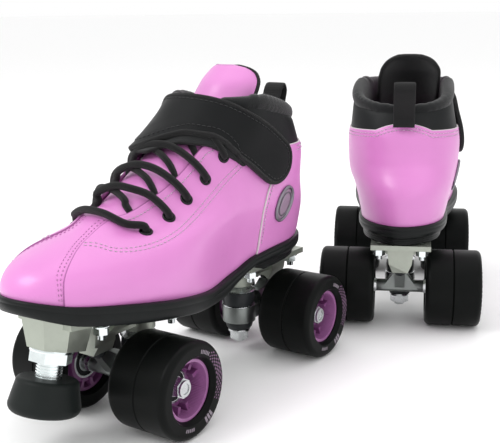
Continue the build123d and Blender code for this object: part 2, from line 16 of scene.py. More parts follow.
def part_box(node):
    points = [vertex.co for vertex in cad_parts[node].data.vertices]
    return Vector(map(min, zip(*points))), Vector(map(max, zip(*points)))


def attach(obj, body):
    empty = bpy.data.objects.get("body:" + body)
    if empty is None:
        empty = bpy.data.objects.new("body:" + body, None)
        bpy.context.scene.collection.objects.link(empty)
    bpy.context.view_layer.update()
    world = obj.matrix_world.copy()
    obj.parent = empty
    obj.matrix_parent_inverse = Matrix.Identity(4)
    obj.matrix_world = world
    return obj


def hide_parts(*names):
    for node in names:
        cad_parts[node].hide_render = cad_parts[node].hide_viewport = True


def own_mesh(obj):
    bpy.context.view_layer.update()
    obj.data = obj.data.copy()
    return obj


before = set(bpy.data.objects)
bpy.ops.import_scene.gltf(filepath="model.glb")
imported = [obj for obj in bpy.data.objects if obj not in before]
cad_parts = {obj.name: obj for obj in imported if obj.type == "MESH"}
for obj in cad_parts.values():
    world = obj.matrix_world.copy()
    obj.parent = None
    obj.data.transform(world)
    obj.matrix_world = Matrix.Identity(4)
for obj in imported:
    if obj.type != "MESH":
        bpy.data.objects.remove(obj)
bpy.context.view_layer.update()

SIDES = ("left", "right")
MM = 0.001

# ---- driving dimensions of the boot, mm ----
STATIONS = (0.0, 0.10, 0.33, 0.58, 0.83, 1.0)
TOE_STATION, TOE_FULLNESS = 0.03, 0.62
HEEL_STATION, HEEL_FULLNESS = 0.95, 0.66
LEVELS = (
    # height, toe end, heel end, outer half widths, inner half widths
    (64, -146, 108, (27, 45, 33, 30), (25, 37, 26, 28)),
    (84, -154, 112, (30, 48, 35, 32), (28, 40, 28, 31)),
    (92, -160, 115, (33, 50, 36, 34), (31, 42, 30, 32)),
    (102, -161, 116, (34, 51, 38, 36), (33, 43, 33, 34)),
    (111, -157, 116, (32, 50, 40, 38), (31, 42, 36, 36)),
    (118, -147, 114, (28, 48, 41, 39.5), (27, 41, 37, 38)),
    (123, -131, 111, (24, 45, 41.5, 40.5), (23, 39, 38.5, 40)),
    (128, -110, 108, (21, 41, 41.5, 41), (20, 37, 39, 41)),
    (136, -92, 105, (20, 37, 41.5, 41.5), (20, 34, 39.5, 41.5)),
    (146, -73, 104, (20, 34, 41.5, 41.5), (20, 32, 40, 41.5)),
    (156, -54, 104, (20, 34, 41, 40.5), (20, 32, 40, 41)),
    (167, -35, 100, (21, 35, 40, 38), (20, 34, 39.5, 40)),
    (182, -11, 94, (22, 36, 38.5, 34.5), (20, 35, 40, 38)),
    (202, 9, 88, (24, 37, 38, 32.5), (22, 36.5, 41, 37)),
)
GRID_ROWS = 168
GRID_COLUMNS = 400
SMOOTHING = 10

# lines seen from the side, as (y, z)
SOLE_TOP = (
    (-175, 104), (-161, 100), (-140, 94.5), (-111, 90), (-70, 84), (-26, 79), (4, 81),
    (28, 86), (60, 88), (125, 88.5),
)
SOLE_BOTTOM = (
    (-175, 97), (-161, 91.5), (-140, 83.5), (-111, 78.5), (-75, 74), (-46, 70), (-16, 68),
    (6, 73), (30, 79), (60, 79.5), (125, 79.5),
)
HEEL_BOTTOM, HEEL_TOP = 72.5, 80.5
HEEL_FRONT = 41.0
QUARTER_TOP = ((-70, 205), (-13, 178), (0, 175), (18, 168), (40, 162), (75, 161), (125, 163))
COLLAR_TOP = (
    (-40, 196), (-8, 197), (8, 198.5), (31, 199), (60, 193.5), (85, 185), (102, 180), (125, 178),
)
# front edge of the heel counter, as (z, y)
COUNTER_EDGE = ((70, 27), (92, 32), (118, 30), (130, 33), (146, 42), (170, 50))
# half width of the vamp seam, then of the laced opening, as (y, x)
OPENING = (
    (-185, 90), (-156, 44), (-145, 26), (-140, 23.5), (-133, 20.5), (-124, 16.5), (-113, 12.8),
    (-101, 11), (-93, 12), (-80, 17), (-63, 20), (-48, 22), (-16, 24), (-8, 26), (30, 26),
)
STRAP_OUTLINE = (
    (-36, 163), (-58, 197), (-2, 197), (10, 194), (22, 186.5), (39, 176), (51, 166),
    (55.5, 161), (56.5, 155), (53, 146), (47, 140.5), (40, 138), (34, 138.6), (26, 143.5),
    (12, 155), (-3, 164.5), (-20, 165.5),
)
STRAP_INNER_END = 22.0
# lower edge of the strap over the laces, seen from the front as (x, z)
STRAP_FRONT_EDGE = (
    (-90, 152), (-36, 158.5), (-20, 161.5), (-8, 164.5), (0, 168), (8, 171.5), (14, 173.5),
    (24, 172.5), (30, 169), (34, 163), (40, 150), (90, 100),
)
EYELETS = (
    (29.7, -79.8, 126.2), (31.1, -59.4, 131.4), (30.9, -41.4, 139.3), (31.3, -22.0, 149.0),
    (32.6, -3.5, 161.0),
)
LACE_RADIUS = 2.5
STITCH_ARC = (
    (14, -118, 123), (20.5, -112.6, 123), (28.7, -108, 121), (34.6, -100, 120), (40, -86, 120.5),
    (41.5, -67, 123), (38.6, -44, 129), (36.4, -22.6, 138), (35.8, -2, 148), (37.3, 15, 156),
    (38, 30, 161),
)
TONGUE = (
    # height, front, half width, side set back, thickness, middle
    (127, -99, 16, 13, 7, 2), (136, -84.5, 19, 19, 8, 2), (146, -66, 22, 23, 8.5, 2),
    (156, -48, 23, 24, 8.5, 2), (167, -29, 23.5, 24, 8, 2), (178, -9, 23.5, 21, 7.5, 2),
    (188, 8, 24, 20, 7, 2.5), (198, 18, 24, 20, 6.5, 3), (207, 25, 23, 19, 6, 4),
    (213, 32, 19.5, 15, 5.5, 4), (216.5, 36, 14.5, 9, 5, 4), (218, 38, 9, 4, 4, 3.5),
)
WHEELBASE = 162.0
AXLE_HEIGHT = 31.0
WHEEL_OFFSET = 42.5
TYRE_WIDTH = 44.0
PRINT_STANDS_OFF = 0.06
KINGPIN_OFFSET = 24.0

# camera, in metres and degrees
CAMERA_PLACE = (0.34204, -0.60061, 0.25420)
CAMERA_AZIMUTH = 34.52
CAMERA_DOWN = 13.10
CAMERA_ROLL = 0.65
CAMERA_LENS = 65.2


# ---- vectors and smooth lines ----
def unit(vectors):
    """Vectors scaled to length one along their last axis."""
    return vectors / (np.linalg.norm(vectors, axis=-1, keepdims=True) + 1e-12)


def distances(points):
    """Distance run from the start of a line to each of its points."""
    return np.concatenate([[0], np.cumsum(np.linalg.norm(np.diff(points, axis=0), axis=1))])


def read_each(at, known, values):
    """Linear reading of every column of values."""
    return np.stack([np.interp(at, known, column) for column in values.T], axis=-1)


def evened(rows, rounds):
    """Rows blended with their neighbours, the first and last held."""
    for _ in range(rounds):
        rows[1:-1] = 0.25 * rows[:-2] + 0.5 * rows[1:-1] + 0.25 * rows[2:]
    return rows


def slopes(x, y):
    """Slopes at the points of a line that never overshoots between them."""
    h = np.diff(x)
    d = np.diff(y, axis=0) / h.reshape(-1, *[1] * (y.ndim - 1))
    m = np.zeros_like(y)
    same = d[:-1] * d[1:] > 0
    safe = np.where(same, d[:-1] + d[1:], 1.0)
    m[1:-1] = np.where(same, 2 * d[:-1] * d[1:] / safe, 0.0)
    m[0], m[-1] = d[0], d[-1]
    return m


def hermite(x, y, m, at):
    """Cubic through points x, y with slopes m, read at places."""
    i = np.clip(np.searchsorted(x, at, side="right") - 1, 0, len(x) - 2)
    h = x[i + 1] - x[i]
    t = (at - x[i]) / h
    shape = (-1,) + (1,) * (y.ndim - 1)
    t, h = t.reshape(shape), h.reshape(shape)
    return (
        (2 * t**3 - 3 * t**2 + 1) * y[i]
        + (t**3 - 2 * t**2 + t) * h * m[i]
        + (3 * t**2 - 2 * t**3) * y[i + 1]
        + (t**3 - t**2) * h * m[i + 1]
    )


def line_at(table, at):
    """Smooth reading of a table of (input, output) pairs, held level past its ends."""
    x = np.array([a for a, _ in table], float)
    y = np.array([b for _, b in table], float)
    at = np.asarray(at, float)
    flat = np.clip(at.ravel(), x[0], x[-1])
    return hermite(x, y, slopes(x, y), flat).reshape(at.shape)


def closed_ring(points, half_count):
    """A smooth closed curve through points, read evenly down each side from toe to heel."""
    count = len(points)
    ahead = np.roll(points, -1, axis=0)
    h = np.linalg.norm(ahead - points, axis=1)
    before = np.roll(h, 1)
    system = np.zeros((count, count))
    rise = (ahead - points) / h[:, None] ** 2
    for i in range(count):
        system[i, i - 1] = 1 / before[i]
        system[i, i] = 2 * (1 / before[i] + 1 / h[i])
        system[i, (i + 1) % count] = 1 / h[i]
    m = np.linalg.solve(system, 3 * (rise + np.roll(rise, 1, axis=0)))
    knots = np.concatenate([[0], np.cumsum(h)])
    heel = knots[count // 2]
    at = np.concatenate([
        np.linspace(0, heel, half_count, endpoint=False),
        np.linspace(heel, knots[-1], half_count, endpoint=False),
    ])
    return hermite(knots, np.vstack([points, points[:1]]), np.vstack([m, m[:1]]), at)


def smooth_path(points, step, closed=False):
    """Points spaced evenly by step along a smooth curve through points."""
    points = np.array(points, float)
    if closed:
        points = np.vstack([points[-2:], points, points[:3]])
    gaps = np.linalg.norm(np.diff(points, axis=0), axis=1)
    knots = np.concatenate([[0], np.cumsum(np.sqrt(gaps))])
    m = np.gradient(points, knots, axis=0)
    first, last = (knots[2], knots[-3]) if closed else (0, knots[-1])
    fine = hermite(knots, points, m, np.linspace(first, last, 60 * len(points)))
    run = distances(fine)
    count = max(int(round(run[-1] / step)), 2)
    even = read_each(np.linspace(0, run[-1], count + 1), run, fine)
    return even[:-1] if closed else even


# ---- boot surface ----
def level_points(level):
    """Fourteen points round the boot at one level, outer side first."""
    _, toe, heel, outer, inner = level
    length = heel - toe
    sides = []
    for halves in (outer, inner):
        side = [(halves[0] * TOE_FULLNESS, toe + TOE_STATION * length)]
        side += [(half, toe + STATIONS[i + 1] * length) for i, half in enumerate(halves)]
        side += [(halves[-1] * HEEL_FULLNESS, toe + HEEL_STATION * length)]
        sides.append(side)
    inner_side = [(-x, y) for x, y in reversed(sides[1])]
    return [(0.0, toe)] + sides[0] + [(0.0, heel)] + inner_side


def boot_grid():
    """Points of the boot's outer surface, rows upward and columns round it from the toe."""
    heights = np.array([level[0] for level in LEVELS], float)
    controls = np.array([level_points(level) for level in LEVELS], float)
    toes = np.array([level[1] for level in LEVELS], float)
    lengths = np.hypot(np.diff(heights), 0.75 * np.diff(toes))
    runs = np.concatenate([[0], np.cumsum(lengths)])
    at = np.linspace(0, runs[-1], GRID_ROWS)
    z = hermite(runs, heights, slopes(runs, heights), at)
    rows = hermite(heights, controls, slopes(heights, controls), z)
    grid = np.zeros((GRID_ROWS, GRID_COLUMNS, 3))
    for i in range(GRID_ROWS):
        grid[i, :, :2] = closed_ring(rows[i], GRID_COLUMNS // 2)
        grid[i, :, 2] = z[i]
    return evened(grid, SMOOTHING)


def grid_normals(grid):
    """Outward directions of the boot's surface at the points of its grid."""
    along = np.roll(grid, -1, axis=1) - np.roll(grid, 1, axis=1)
    return unit(np.cross(along, np.gradient(grid, axis=0)))


def numbered(rows, columns):
    """Vertex numbers of a grid of points."""
    return np.arange(rows * columns).reshape(rows, columns)


def grid_quads():
    """Corner numbers of the faces of the boot's grid."""
    index = numbered(GRID_ROWS, GRID_COLUMNS)
    right = np.roll(index, -1, axis=1)
    return np.stack([index[:-1], right[:-1], right[1:], index[1:]], axis=-1).reshape(-1, 4)


GRID = boot_grid()
NORMAL = grid_normals(GRID)
X, Y, Z = GRID[..., 0], GRID[..., 1], GRID[..., 2]
HEIGHTS = Z[:, 0]
QUADS = grid_quads()
TREE = BVHTree.FromPolygons([Vector(p) for p in GRID.reshape(-1, 3)], QUADS.tolist())


def on_boot(points, lift=0.0):
    """The nearest points on the boot's surface, lifted off it, and the surface's directions."""
    places, directions = [], []
    for point in points:
        place, normal, _, _ = TREE.find_nearest(Vector(point))
        places.append(place + normal * lift)
        directions.append(normal)
    return np.array(places), np.array(directions)


def boot_top(x, y, lift=0.0):
    """The point on top of the foot straight above (x, y), lifted off the surface."""
    place, normal, _, _ = TREE.ray_cast(Vector((x, y, 320.0)), Vector((0, 0, -1)))
    return tuple(place + normal * lift)


# ---- placing pieces on the skates ----
def box_middle(node):
    low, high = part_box(node)
    return (low + high) / 2


class Skate:
    """Where one skate's own frame lies in the row frame."""

    def __init__(self, side):
        front = box_middle(side + "_front_axle")
        rear = box_middle(side + "_rear_axle")
        toe = (front - rear).normalized()
        up = Vector((0, 0, 1))
        outer = up.cross(toe)
        self.side = side
        self.mirrored = side == "right"
        if self.mirrored:
            outer = -outer
        middle = (front + rear) / 2
        self.origin = np.array((middle.x, middle.y, 0.0))
        self.axes = np.array((outer, -toe, up))

    def place(self, points):
        return np.asarray(points, float) @ self.axes * MM + self.origin


SKATES = [Skate(side) for side in SIDES]


def new_object(name, points, faces, materials, indices=None, smooth=True):
    mesh = bpy.data.meshes.new(name)
    mesh.from_pydata(points.tolist(), [], faces)
    for material in materials:
        mesh.materials.append(material)
    if indices is not None:
        mesh.polygons.foreach_set("material_index", indices)
    mesh.polygons.foreach_set("use_smooth", [smooth] * len(mesh.polygons))
    mesh.validate()
    mesh.update()
    thing = bpy.data.objects.new(name, mesh)
    bpy.context.scene.collection.objects.link(thing)
    return thing


def add_pieces(name, body, shape, materials, stands_for=(), indices=None, smooth=True):
    """One piece on each skate, made from points in the skate's own frame."""
    points, faces = shape
    made = []
    for skate in SKATES:
        placed = skate.place(points)
        turned = [tuple(reversed(face)) for face in faces] if skate.mirrored else faces
        piece = new_object(skate.side + "_" + name, placed, turned, materials, indices, smooth)
        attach(piece, skate.side + "_" + body)
        if stands_for:
            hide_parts(*[skate.side + "_" + node for node in stands_for])
        made.append(piece)
    return made


def add_panel(name, body, sheet, materials, stands_for=()):
    """One piece on each skate, made from a sheet as panel() gives it."""
    points, faces, indices = sheet
    return add_pieces(name, body, (points, faces), materials, stands_for, indices)


def join(shapes):
    """Several (points, faces) shapes as one."""
    points, faces, start = [], [], 0
    for some, more in shapes:
        points.append(np.asarray(some, float))
        faces += [tuple(int(i) + start for i in face) for face in more]
        start += len(some)
    return np.vstack(points), faces


# ---- cutting panels out of the boot surface ----
def cut(field):
    """The part of the grid where field is above zero, as (first, second, share) and faces."""
    value = field.ravel()
    inside = value > 0
    count = inside[QUADS].sum(axis=1)
    numbers, first, second, share = {}, [], [], []

    def vertex(a, b):
        key = (min(a, b), max(a, b))
        if key not in numbers:
            numbers[key] = len(first)
            first.append(key[0])
            second.append(key[1])
            low, high = value[key[0]], value[key[1]]
            share.append(0.0 if a == b else low / (low - high))
        return numbers[key]

    faces = [tuple(vertex(i, i) for i in quad) for quad in QUADS[count == 4].tolist()]
    for quad in QUADS[(count > 0) & (count < 4)].tolist():
        polygon = []
        for a, b in zip(quad, quad[1:] + quad[:1]):
            if inside[a]:
                polygon.append(vertex(a, a))
            if inside[a] != inside[b]:
                polygon.append(vertex(a, b))
        faces.append(tuple(polygon))
    return np.array(first), np.array(second), np.array(share), faces


def borders(faces):
    """Closed loops of vertices round the edge of a sheet, with the sheet on their left."""
    edges = set()
    for face in faces:
        edges.update(zip(face, face[1:] + face[:1]))
    following = {a: b for a, b in edges if (b, a) not in edges}
    loops = []
    while following:
        start, step = following.popitem()
        loop = [start]
        while step != start and step in following:
            loop.append(step)
            step = following.pop(step)
        loops.append(loop)
    return [loop for loop in loops if len(loop) > 12]


def mix(values, cutting):
    """Values of the grid read at the points of a cut."""
    first, second, share, _ = cutting
    flat = values.reshape(GRID_ROWS * GRID_COLUMNS, -1)
    return flat[first] * (1 - share[:, None]) + flat[second] * share[:, None]


def lifted(cutting, lift):
    """Places and directions of a cut's points, lifted off the boot by a length or a field."""
    normal = unit(mix(NORMAL, cutting))
    if isinstance(lift, np.ndarray):
        lift = mix(lift, cutting)
    return mix(GRID, cutting) + normal * lift, normal


def panel(field, lift, thickness, rounding, steps=3):
    """A closed sheet on the boot where field is positive, with a rounded edge. The third value
    returned gives material 1 to the edge and 0 to the rest."""
    cutting = cut(field)
    top, normal = lifted(cutting, lift)
    count = len(top)
    rings = [top, top - normal * thickness]
    sheets = cutting[3] + [tuple(i + count for i in reversed(face)) for face in cutting[3]]
    edge_faces = []
    start = 2 * count
    for loop in borders(cutting[3]):
        ids = np.array(loop)
        tangent = unit(np.roll(top[ids], -2, axis=0) - np.roll(top[ids], 2, axis=0))
        outward = np.cross(tangent, normal[ids])
        previous = ids
        for step in range(1, steps + 2):
            angle = math.pi / 2 * min(step / steps, 1)
            depth = rounding * (1 - math.cos(angle)) if step <= steps else thickness
            rings.append(top[ids] + outward * rounding * math.sin(angle) - normal[ids] * depth)
            current = np.arange(start, start + len(ids))
            start += len(ids)
            edge_faces += bridge(current, previous)
            previous = current
        edge_faces += bridge(ids + count, previous)
    indices = [0] * len(sheets) + [1] * len(edge_faces)
    return np.vstack(rings), sheets + edge_faces, indices


def bridge(low, high):
    """Faces between two closed rings of vertices."""
    low_next, high_next = np.roll(low, -1), np.roll(high, -1)
    return [tuple(map(int, face)) for face in zip(low, low_next, high_next, high)]


def strips(index):
    """Faces between each closed ring of vertices and the next."""
    return [face for low, high in zip(index, index[1:]) for face in bridge(low, high)]


def end_faces(index):
    """Faces that close the first and the last ring."""
    return [tuple(int(i) for i in reversed(index[0])), tuple(int(i) for i in index[-1])]


def contour(field, value, lift=0.0):
    """Lines on the boot where field has one value, as (points, directions), lifted off it."""
    cutting = cut(field - value)
    place, normal = lifted(cutting, lift)
    return [(place[loop], normal[loop]) for loop in borders(cutting[3])]


def parts_of(line, keep):
    """Runs of a closed contour where keep(points) is true."""
    points, normals = line
    good = keep(points)
    if good.all():
        return [(points, normals)]
    start = int(np.argmin(good))
    order = np.roll(np.arange(len(points)), -start)
    runs, run = [], []
    for i in order:
        if good[i]:
            run.append(i)
        elif run:
            runs.append(run)
            run = []
    if run:
        runs.append(run)
    return [(points[r], normals[r]) for r in runs if len(r) > 6]


# ---- tubes, rings and stitches ----
def tube(path, radius, sides=12, closed=False, flat=1.0, ups=None):
    """A tube along a path, its section flattened towards ups by flat, with rounded ends."""
    path = np.asarray(path, float)
    count = len(path)
    if closed:
        tangent = unit(np.roll(path, -1, axis=0) - np.roll(path, 1, axis=0))
    else:
        tangent = unit(np.gradient(path, axis=0))
    if ups is None:
        ups = np.zeros_like(path)
        ups[0] = np.cross(np.cross(tangent[0], (0.3, 0.2, 1.0)), tangent[0])
        for i in range(1, count):
            ups[i] = ups[i - 1] - tangent[i] * (ups[i - 1] @ tangent[i])
    ups = unit(ups - tangent * np.sum(ups * tangent, axis=1, keepdims=True))
    across = np.cross(tangent, ups)
    angle = np.linspace(0, 2 * math.pi, sides, endpoint=False)[None, :, None]
    ring = across[:, None] * np.cos(angle) + ups[:, None] * np.sin(angle) * flat
    points = (path[:, None] + ring * radius).reshape(-1, 3)
    index = numbered(count, sides)
    if closed:
        return points, strips(np.vstack([index, index[:1]]))
    tips = [path[0] - tangent[0] * radius * 0.5, path[-1] + tangent[-1] * radius * 0.5]
    tip = count * sides
    first, last = index[0].tolist(), index[-1].tolist()
    faces = strips(index)
    faces += [(b, a, tip) for a, b in zip(first, first[1:] + first[:1])]
    faces += [(a, b, tip + 1) for a, b in zip(last, last[1:] + last[:1])]
    return np.vstack([points, tips]), faces


def ring_lathe(profile, segments=48):
    """A ring turned about Z from a closed (radius, height) outline."""
    angle = np.linspace(0, 2 * math.pi, segments, endpoint=False)
    circle = np.stack([np.cos(angle), np.sin(angle)], axis=1)
    rings = [np.column_stack([radius * circle, np.full(segments, z)]) for radius, z in profile]
    index = numbered(len(profile), segments)
    return np.vstack(rings), strips(np.vstack([index, index[:1]]))


def turned_to(points, direction, place):
    """Points made about Z, turned so that Z lies along direction, and moved to place."""
    z = unit(np.asarray(direction, float))
    x = unit(np.cross((0, 1, 0), z))
    return np.asarray(points) @ np.array((x, np.cross(z, x), z)) + np.asarray(place)


THREAD_RADIUS = 0.32
# rise of a thread off the surface along its length, in thread radii
THREAD_RISE = np.array((-1.09375, 0.3125, 0.625, 0.3125, -1.09375))[:, None]


def stitches(line, radius=THREAD_RADIUS, length=2.1, gap=0.9):
    """A row of short threads along a line on the surface, each dipping in at its ends."""
    points, normals = line
    run = distances(points)
    shapes = []
    at = gap
    while at + length < run[-1]:
        places = np.linspace(at, at + length, len(THREAD_RISE))
        up = read_each(places, run, normals)
        path = read_each(places, run, points) + up * THREAD_RISE * radius
        shapes.append(tube(path, radius, sides=6, ups=up))
        at += length + gap
    return shapes


def offset_line(line, distance):
    """A line on the boot moved sideways along the surface."""
    points, normals = line
    tangent = unit(np.gradient(points, axis=0))
    return on_boot(points + np.cross(normals, tangent) * distance)


# ---- materials ----
def new_material(name, colour, rough, metal=0.0, specular=0.5, coat=0.0, sheen=0.0):
    """A material with its shader's plain settings made, and the shader."""
    material = bpy.data.materials.new(name)
    material.use_nodes = True
    shader = material.node_tree.nodes["Principled BSDF"]
    settings = {
        "Base Color": (*colour, 1), "Roughness": rough, "Metallic": metal,
        "Specular IOR Level": specular, "Coat Weight": coat, "Coat Roughness": 0.25,
        "Sheen Weight": sheen,
    }
    for socket, value in settings.items():
        shader.inputs[socket].default_value = value
    return material, shader


def texture(shader, kind, scale, **settings):
    """A texture node fixed to the object's own place."""
    tree = shader.id_data
    node = tree.nodes.new("ShaderNodeTex" + kind)
    for name, value in {"Scale": scale, **settings}.items():
        node.inputs[name].default_value = value
    place = tree.nodes.new("ShaderNodeTexCoord").outputs["Object"]
    tree.links.new(place, node.inputs["Vector"])
    return node


def noise(shader, scale, detail, **settings):
    return texture(shader, "Noise", scale, Detail=detail, **settings).outputs["Fac"]


def ramp(shader, socket, value, *stops):
    """Feeds a socket with two colours spread over a value; each stop is (place, colour)."""
    tree = shader.id_data
    node = tree.nodes.new("ShaderNodeValToRGB")
    for element, (place, colour) in zip(node.color_ramp.elements, stops):
        element.position = place
        element.color = (*colour, 1)
    tree.links.new(value, node.inputs["Fac"])
    tree.links.new(node.outputs["Color"], shader.inputs[socket])


def tint(shader, value, *stops):
    """Spreads two colours over a value."""
    ramp(shader, "Base Color", value, *stops)


def wear(shader, value, *stops):
    """Spreads two roughnesses over a value."""
    ramp(shader, "Roughness", value, *[(place, (rough,) * 3) for place, rough in stops])


def bump(shader, height, distance, strength, before=None):
    """Relief from a height, on top of the relief before it."""
    tree = shader.id_data
    node = tree.nodes.new("ShaderNodeBump")
    node.inputs["Distance"].default_value = distance
    node.inputs["Strength"].default_value = strength
    tree.links.new(height, node.inputs["Height"])
    if before is not None:
        tree.links.new(before, node.inputs["Normal"])
    tree.links.new(node.outputs["Normal"], shader.inputs["Normal"])
    return node.outputs["Normal"]


def shade(colour, factor):
    return tuple(min(part * factor, 1.0) for part in colour)


def leather(name, colour, rough, coat=0.0, specular=0.5):
    """Smooth coated leather: fine pebble grain, slow drifts of tone and gloss."""
    material, shader = new_material(name, colour, rough, specular=specular, coat=coat)
    tint(shader, noise(shader, 14.0, 3.0), (0.32, shade(colour, 0.9)), (0.68, colour))
    wear(shader, noise(shader, 60.0, 4.0), (0.3, rough - 0.06), (0.7, rough + 0.08))
    pebble = texture(shader, "Voronoi", 1400.0).outputs["Distance"]
    grain = bump(shader, pebble, 0.00006, 0.5)
    bump(shader, noise(shader, 90.0, 5.0, Roughness=0.6), 0.0003, 0.25, grain)
    return material


def knit(name, colour, scale=1500.0):
    """Soft knitted lining with a fine two-way rib."""
    material, shader = new_material(name, colour, 0.85, specular=0.2, sheen=0.25)
    shader.inputs["Sheen Roughness"].default_value = 0.5
    cells = texture(shader, "Voronoi", scale).outputs["Distance"]
    tint(shader, cells, (0.0, shade(colour, 1.6)), (0.8, colour))
    bump(shader, cells, 0.0003, 0.8)
    return material


def webbing(name, colour, scale, direction="Z", groove_shade=0.45):
    """Woven webbing with ribs across its length, its colour painted darker between the ribs as
    painted shade and lighter on their crests as a painted highlight.
    """
    material, shader = new_material(name, colour, 0.75, specular=0.2, sheen=0.1)
    wave = texture(shader, "Wave", scale, Distortion=0.4)
    wave.bands_direction = direction
    wave.inputs["Detail Scale"].default_value = 4.0
    ribs = wave.outputs["Fac"]
    # painted shade: darker colour in the grooves between the ribs; painted highlight: lighter colour
    # on the rib crests
    tint(shader, ribs, (0.2, shade(colour, groove_shade)), (0.8, shade(colour, 1.5)))
    bump(shader, ribs, 0.0005, 0.9)
    return material


def rubber(name, colour, rough=0.5, scuff=0.1, specular=0.2):
    """Moulded urethane or rubber with a fine skin and light scuffing."""
    material, shader = new_material(name, colour, rough, specular=specular)
    marks = noise(shader, 40.0, 6.0, Roughness=0.65)
    wear(shader, marks, (0.35, rough), (0.72, rough + scuff))
    tint(shader, marks, (0.3, colour), (0.8, shade(colour, 1.5)))
    bump(shader, noise(shader, 700.0, 3.0), 0.0001, 0.35)
    return material


def metal(name, colour, rough, grain=300.0, depth=0.0001, spread=0.12, cloudy=0.8):
    """Cast or plated metal: cloudy tone, fine grain in its gloss."""
    material, shader = new_material(name, colour, rough, metal=1.0)
    cloud = noise(shader, 55.0, 5.0, Roughness=0.6)
    tint(shader, cloud, (0.3, shade(colour, cloudy)), (0.7, colour))
    wear(shader, cloud, (0.3, rough), (0.7, rough + spread))
    bump(shader, noise(shader, grain, 4.0), depth, 0.5)
    return material


def plastic(name, colour, rough=0.3):
    """Moulded nylon with a faint flow pattern."""
    material, shader = new_material(name, colour, rough, coat=0.2)
    flow = noise(shader, 80.0, 2.0, Distortion=0.6)
    tint(shader, flow, (0.3, shade(colour, 0.85)), (0.7, shade(colour, 1.12)))
    bump(shader, noise(shader, 900.0, 2.0), 0.00006, 0.4)
    return material


PINK_LEATHER = leather("pink_leather", (0.66, 0.22, 0.56), 0.42, coat=0.38)
DARK_EDGE = leather("dark_leather_edge", (0.33, 0.10, 0.28), 0.7)
RAW_EDGE = leather("raw_leather_edge", (0.60, 0.38, 0.52), 0.7)
COUNTER_EDGE_PAINT = leather("pale_leather_edge", (0.62, 0.56, 0.58), 0.7)
BLACK_SYNTHETIC = leather("black_synthetic", (0.005, 0.0055, 0.006), 0.45, specular=0.14)
COLLAR_SKIN = leather("collar_skin", (0.006, 0.007, 0.0075), 0.48, specular=0.2)
BADGE_FACE = leather("badge_face", (0.30, 0.20, 0.29), 0.35, coat=0.4)
LINING = knit("black_lining", (0.006, 0.0065, 0.007))
FOOTBED = knit("footbed", (0.02, 0.02, 0.022), scale=900.0)
WEBBING = webbing("ribbed_webbing", (0.009, 0.009, 0.0095), 420.0)
LACE = webbing("lace_braid", (0.004, 0.004, 0.0043), 500.0, "DIAGONAL")
PINK_THREAD = webbing("pink_thread", (0.92, 0.58, 0.85), 2200.0, "DIAGONAL", 0.9)
DARK_PINK_THREAD = webbing("dark_pink_thread", (0.66, 0.27, 0.57), 2200.0, "DIAGONAL", 0.8)
BLACK_THREAD = webbing("black_thread", (0.03, 0.03, 0.032), 2200.0, "DIAGONAL", 0.8)
BINDING = webbing("black_binding", (0.008, 0.008, 0.0085), 1100.0, "DIAGONAL")
SOLE = rubber("sole_rubber", (0.008, 0.009, 0.009), 0.34, specular=0.12)
TYRE = rubber("tyre_urethane", (0.003, 0.0035, 0.0033), 0.36, specular=0.08)
PRINT = rubber("tyre_print", (0.20, 0.17, 0.20))
CHECKER = rubber("tyre_checker_print", (0.15, 0.085, 0.145))
CUSHION = rubber("cushion_urethane", (0.02, 0.022, 0.024), 0.34)
STOP = rubber("toe_stop_rubber", (0.007, 0.009, 0.0085), 0.42, scuff=0.2, specular=0.15)
BEARING_SEAL = rubber("bearing_seal", (0.012, 0.012, 0.013))
HUB = plastic("hub_purple", (0.19, 0.055, 0.175))
HUB_RIM = plastic("hub_rim_purple", (0.30, 0.11, 0.28), 0.34)
CAST = metal("cast_base", (0.44, 0.47, 0.41), 0.42, spread=0.16)
DARK_CAST = metal("cast_hanger", (0.27, 0.29, 0.28), 0.38)
ZINC = metal("zinc_plate", (0.80, 0.86, 0.86), 0.16, grain=800.0, depth=0.00003, cloudy=0.85)
STEEL = metal("bright_steel", (0.68, 0.70, 0.71), 0.2, grain=900.0, depth=0.00003)
EYELET = metal("black_lacquer", (0.03, 0.03, 0.032), 0.22, grain=900.0, depth=0.00002)
BADGE = metal("badge_metal", (0.27, 0.26, 0.29), 0.34)


# ---- fields on the boot: distance inside a piece's outline, mm ----
SLOPE = np.clip(np.linalg.norm(NORMAL[..., :2], axis=-1), 0.3, 1.0)
ABOVE_SOLE = (Z - line_at(SOLE_TOP, Y)) / SLOPE
BELOW_QUARTER_TOP = line_at(QUARTER_TOP, Y) - Z
# the vamp seam reaches further round the inner side of the toe
SIDEWAYS = np.abs(X) * np.where(X < 0, 1 - 0.3 * np.clip((-100 - Y) / 20, 0, 1), 1.0)
# the laced opening is cut in the front of the boot only
BESIDE_OPENING = np.where(Y > 12, 50.0, SIDEWAYS - line_at(OPENING, Y))
BEHIND_COUNTER_EDGE = Y - line_at(COUNTER_EDGE, Z)
COUNTER_ARCH = 167.0 - 8.0 * (X / 26.0) ** 2 - Z


def outline_distance(outline, y, z):
    """Signed distance inside a closed outline drawn from the side."""
    outline = smooth_path([(0.0, *point) for point in outline], 2.5, closed=True)[:, 1:]
    best = np.full(y.shape, 1e9)
    inside = np.zeros(y.shape, bool)
    for (ya, za), (yb, zb) in zip(outline, np.roll(outline, -1, axis=0)):
        ry, rz = yb - ya, zb - za
        share = np.clip(((y - ya) * ry + (z - za) * rz) / (ry * ry + rz * rz + 1e-12), 0, 1)
        best = np.minimum(best, np.hypot(y - ya - share * ry, z - za - share * rz))
        crosses = (za > z) != (zb > z)
        span = zb - za if abs(zb - za) > 1e-9 else 1e-9
        inside ^= crosses & (y < ry * (z - za) / span + ya)
    return np.where(inside, best, -best)


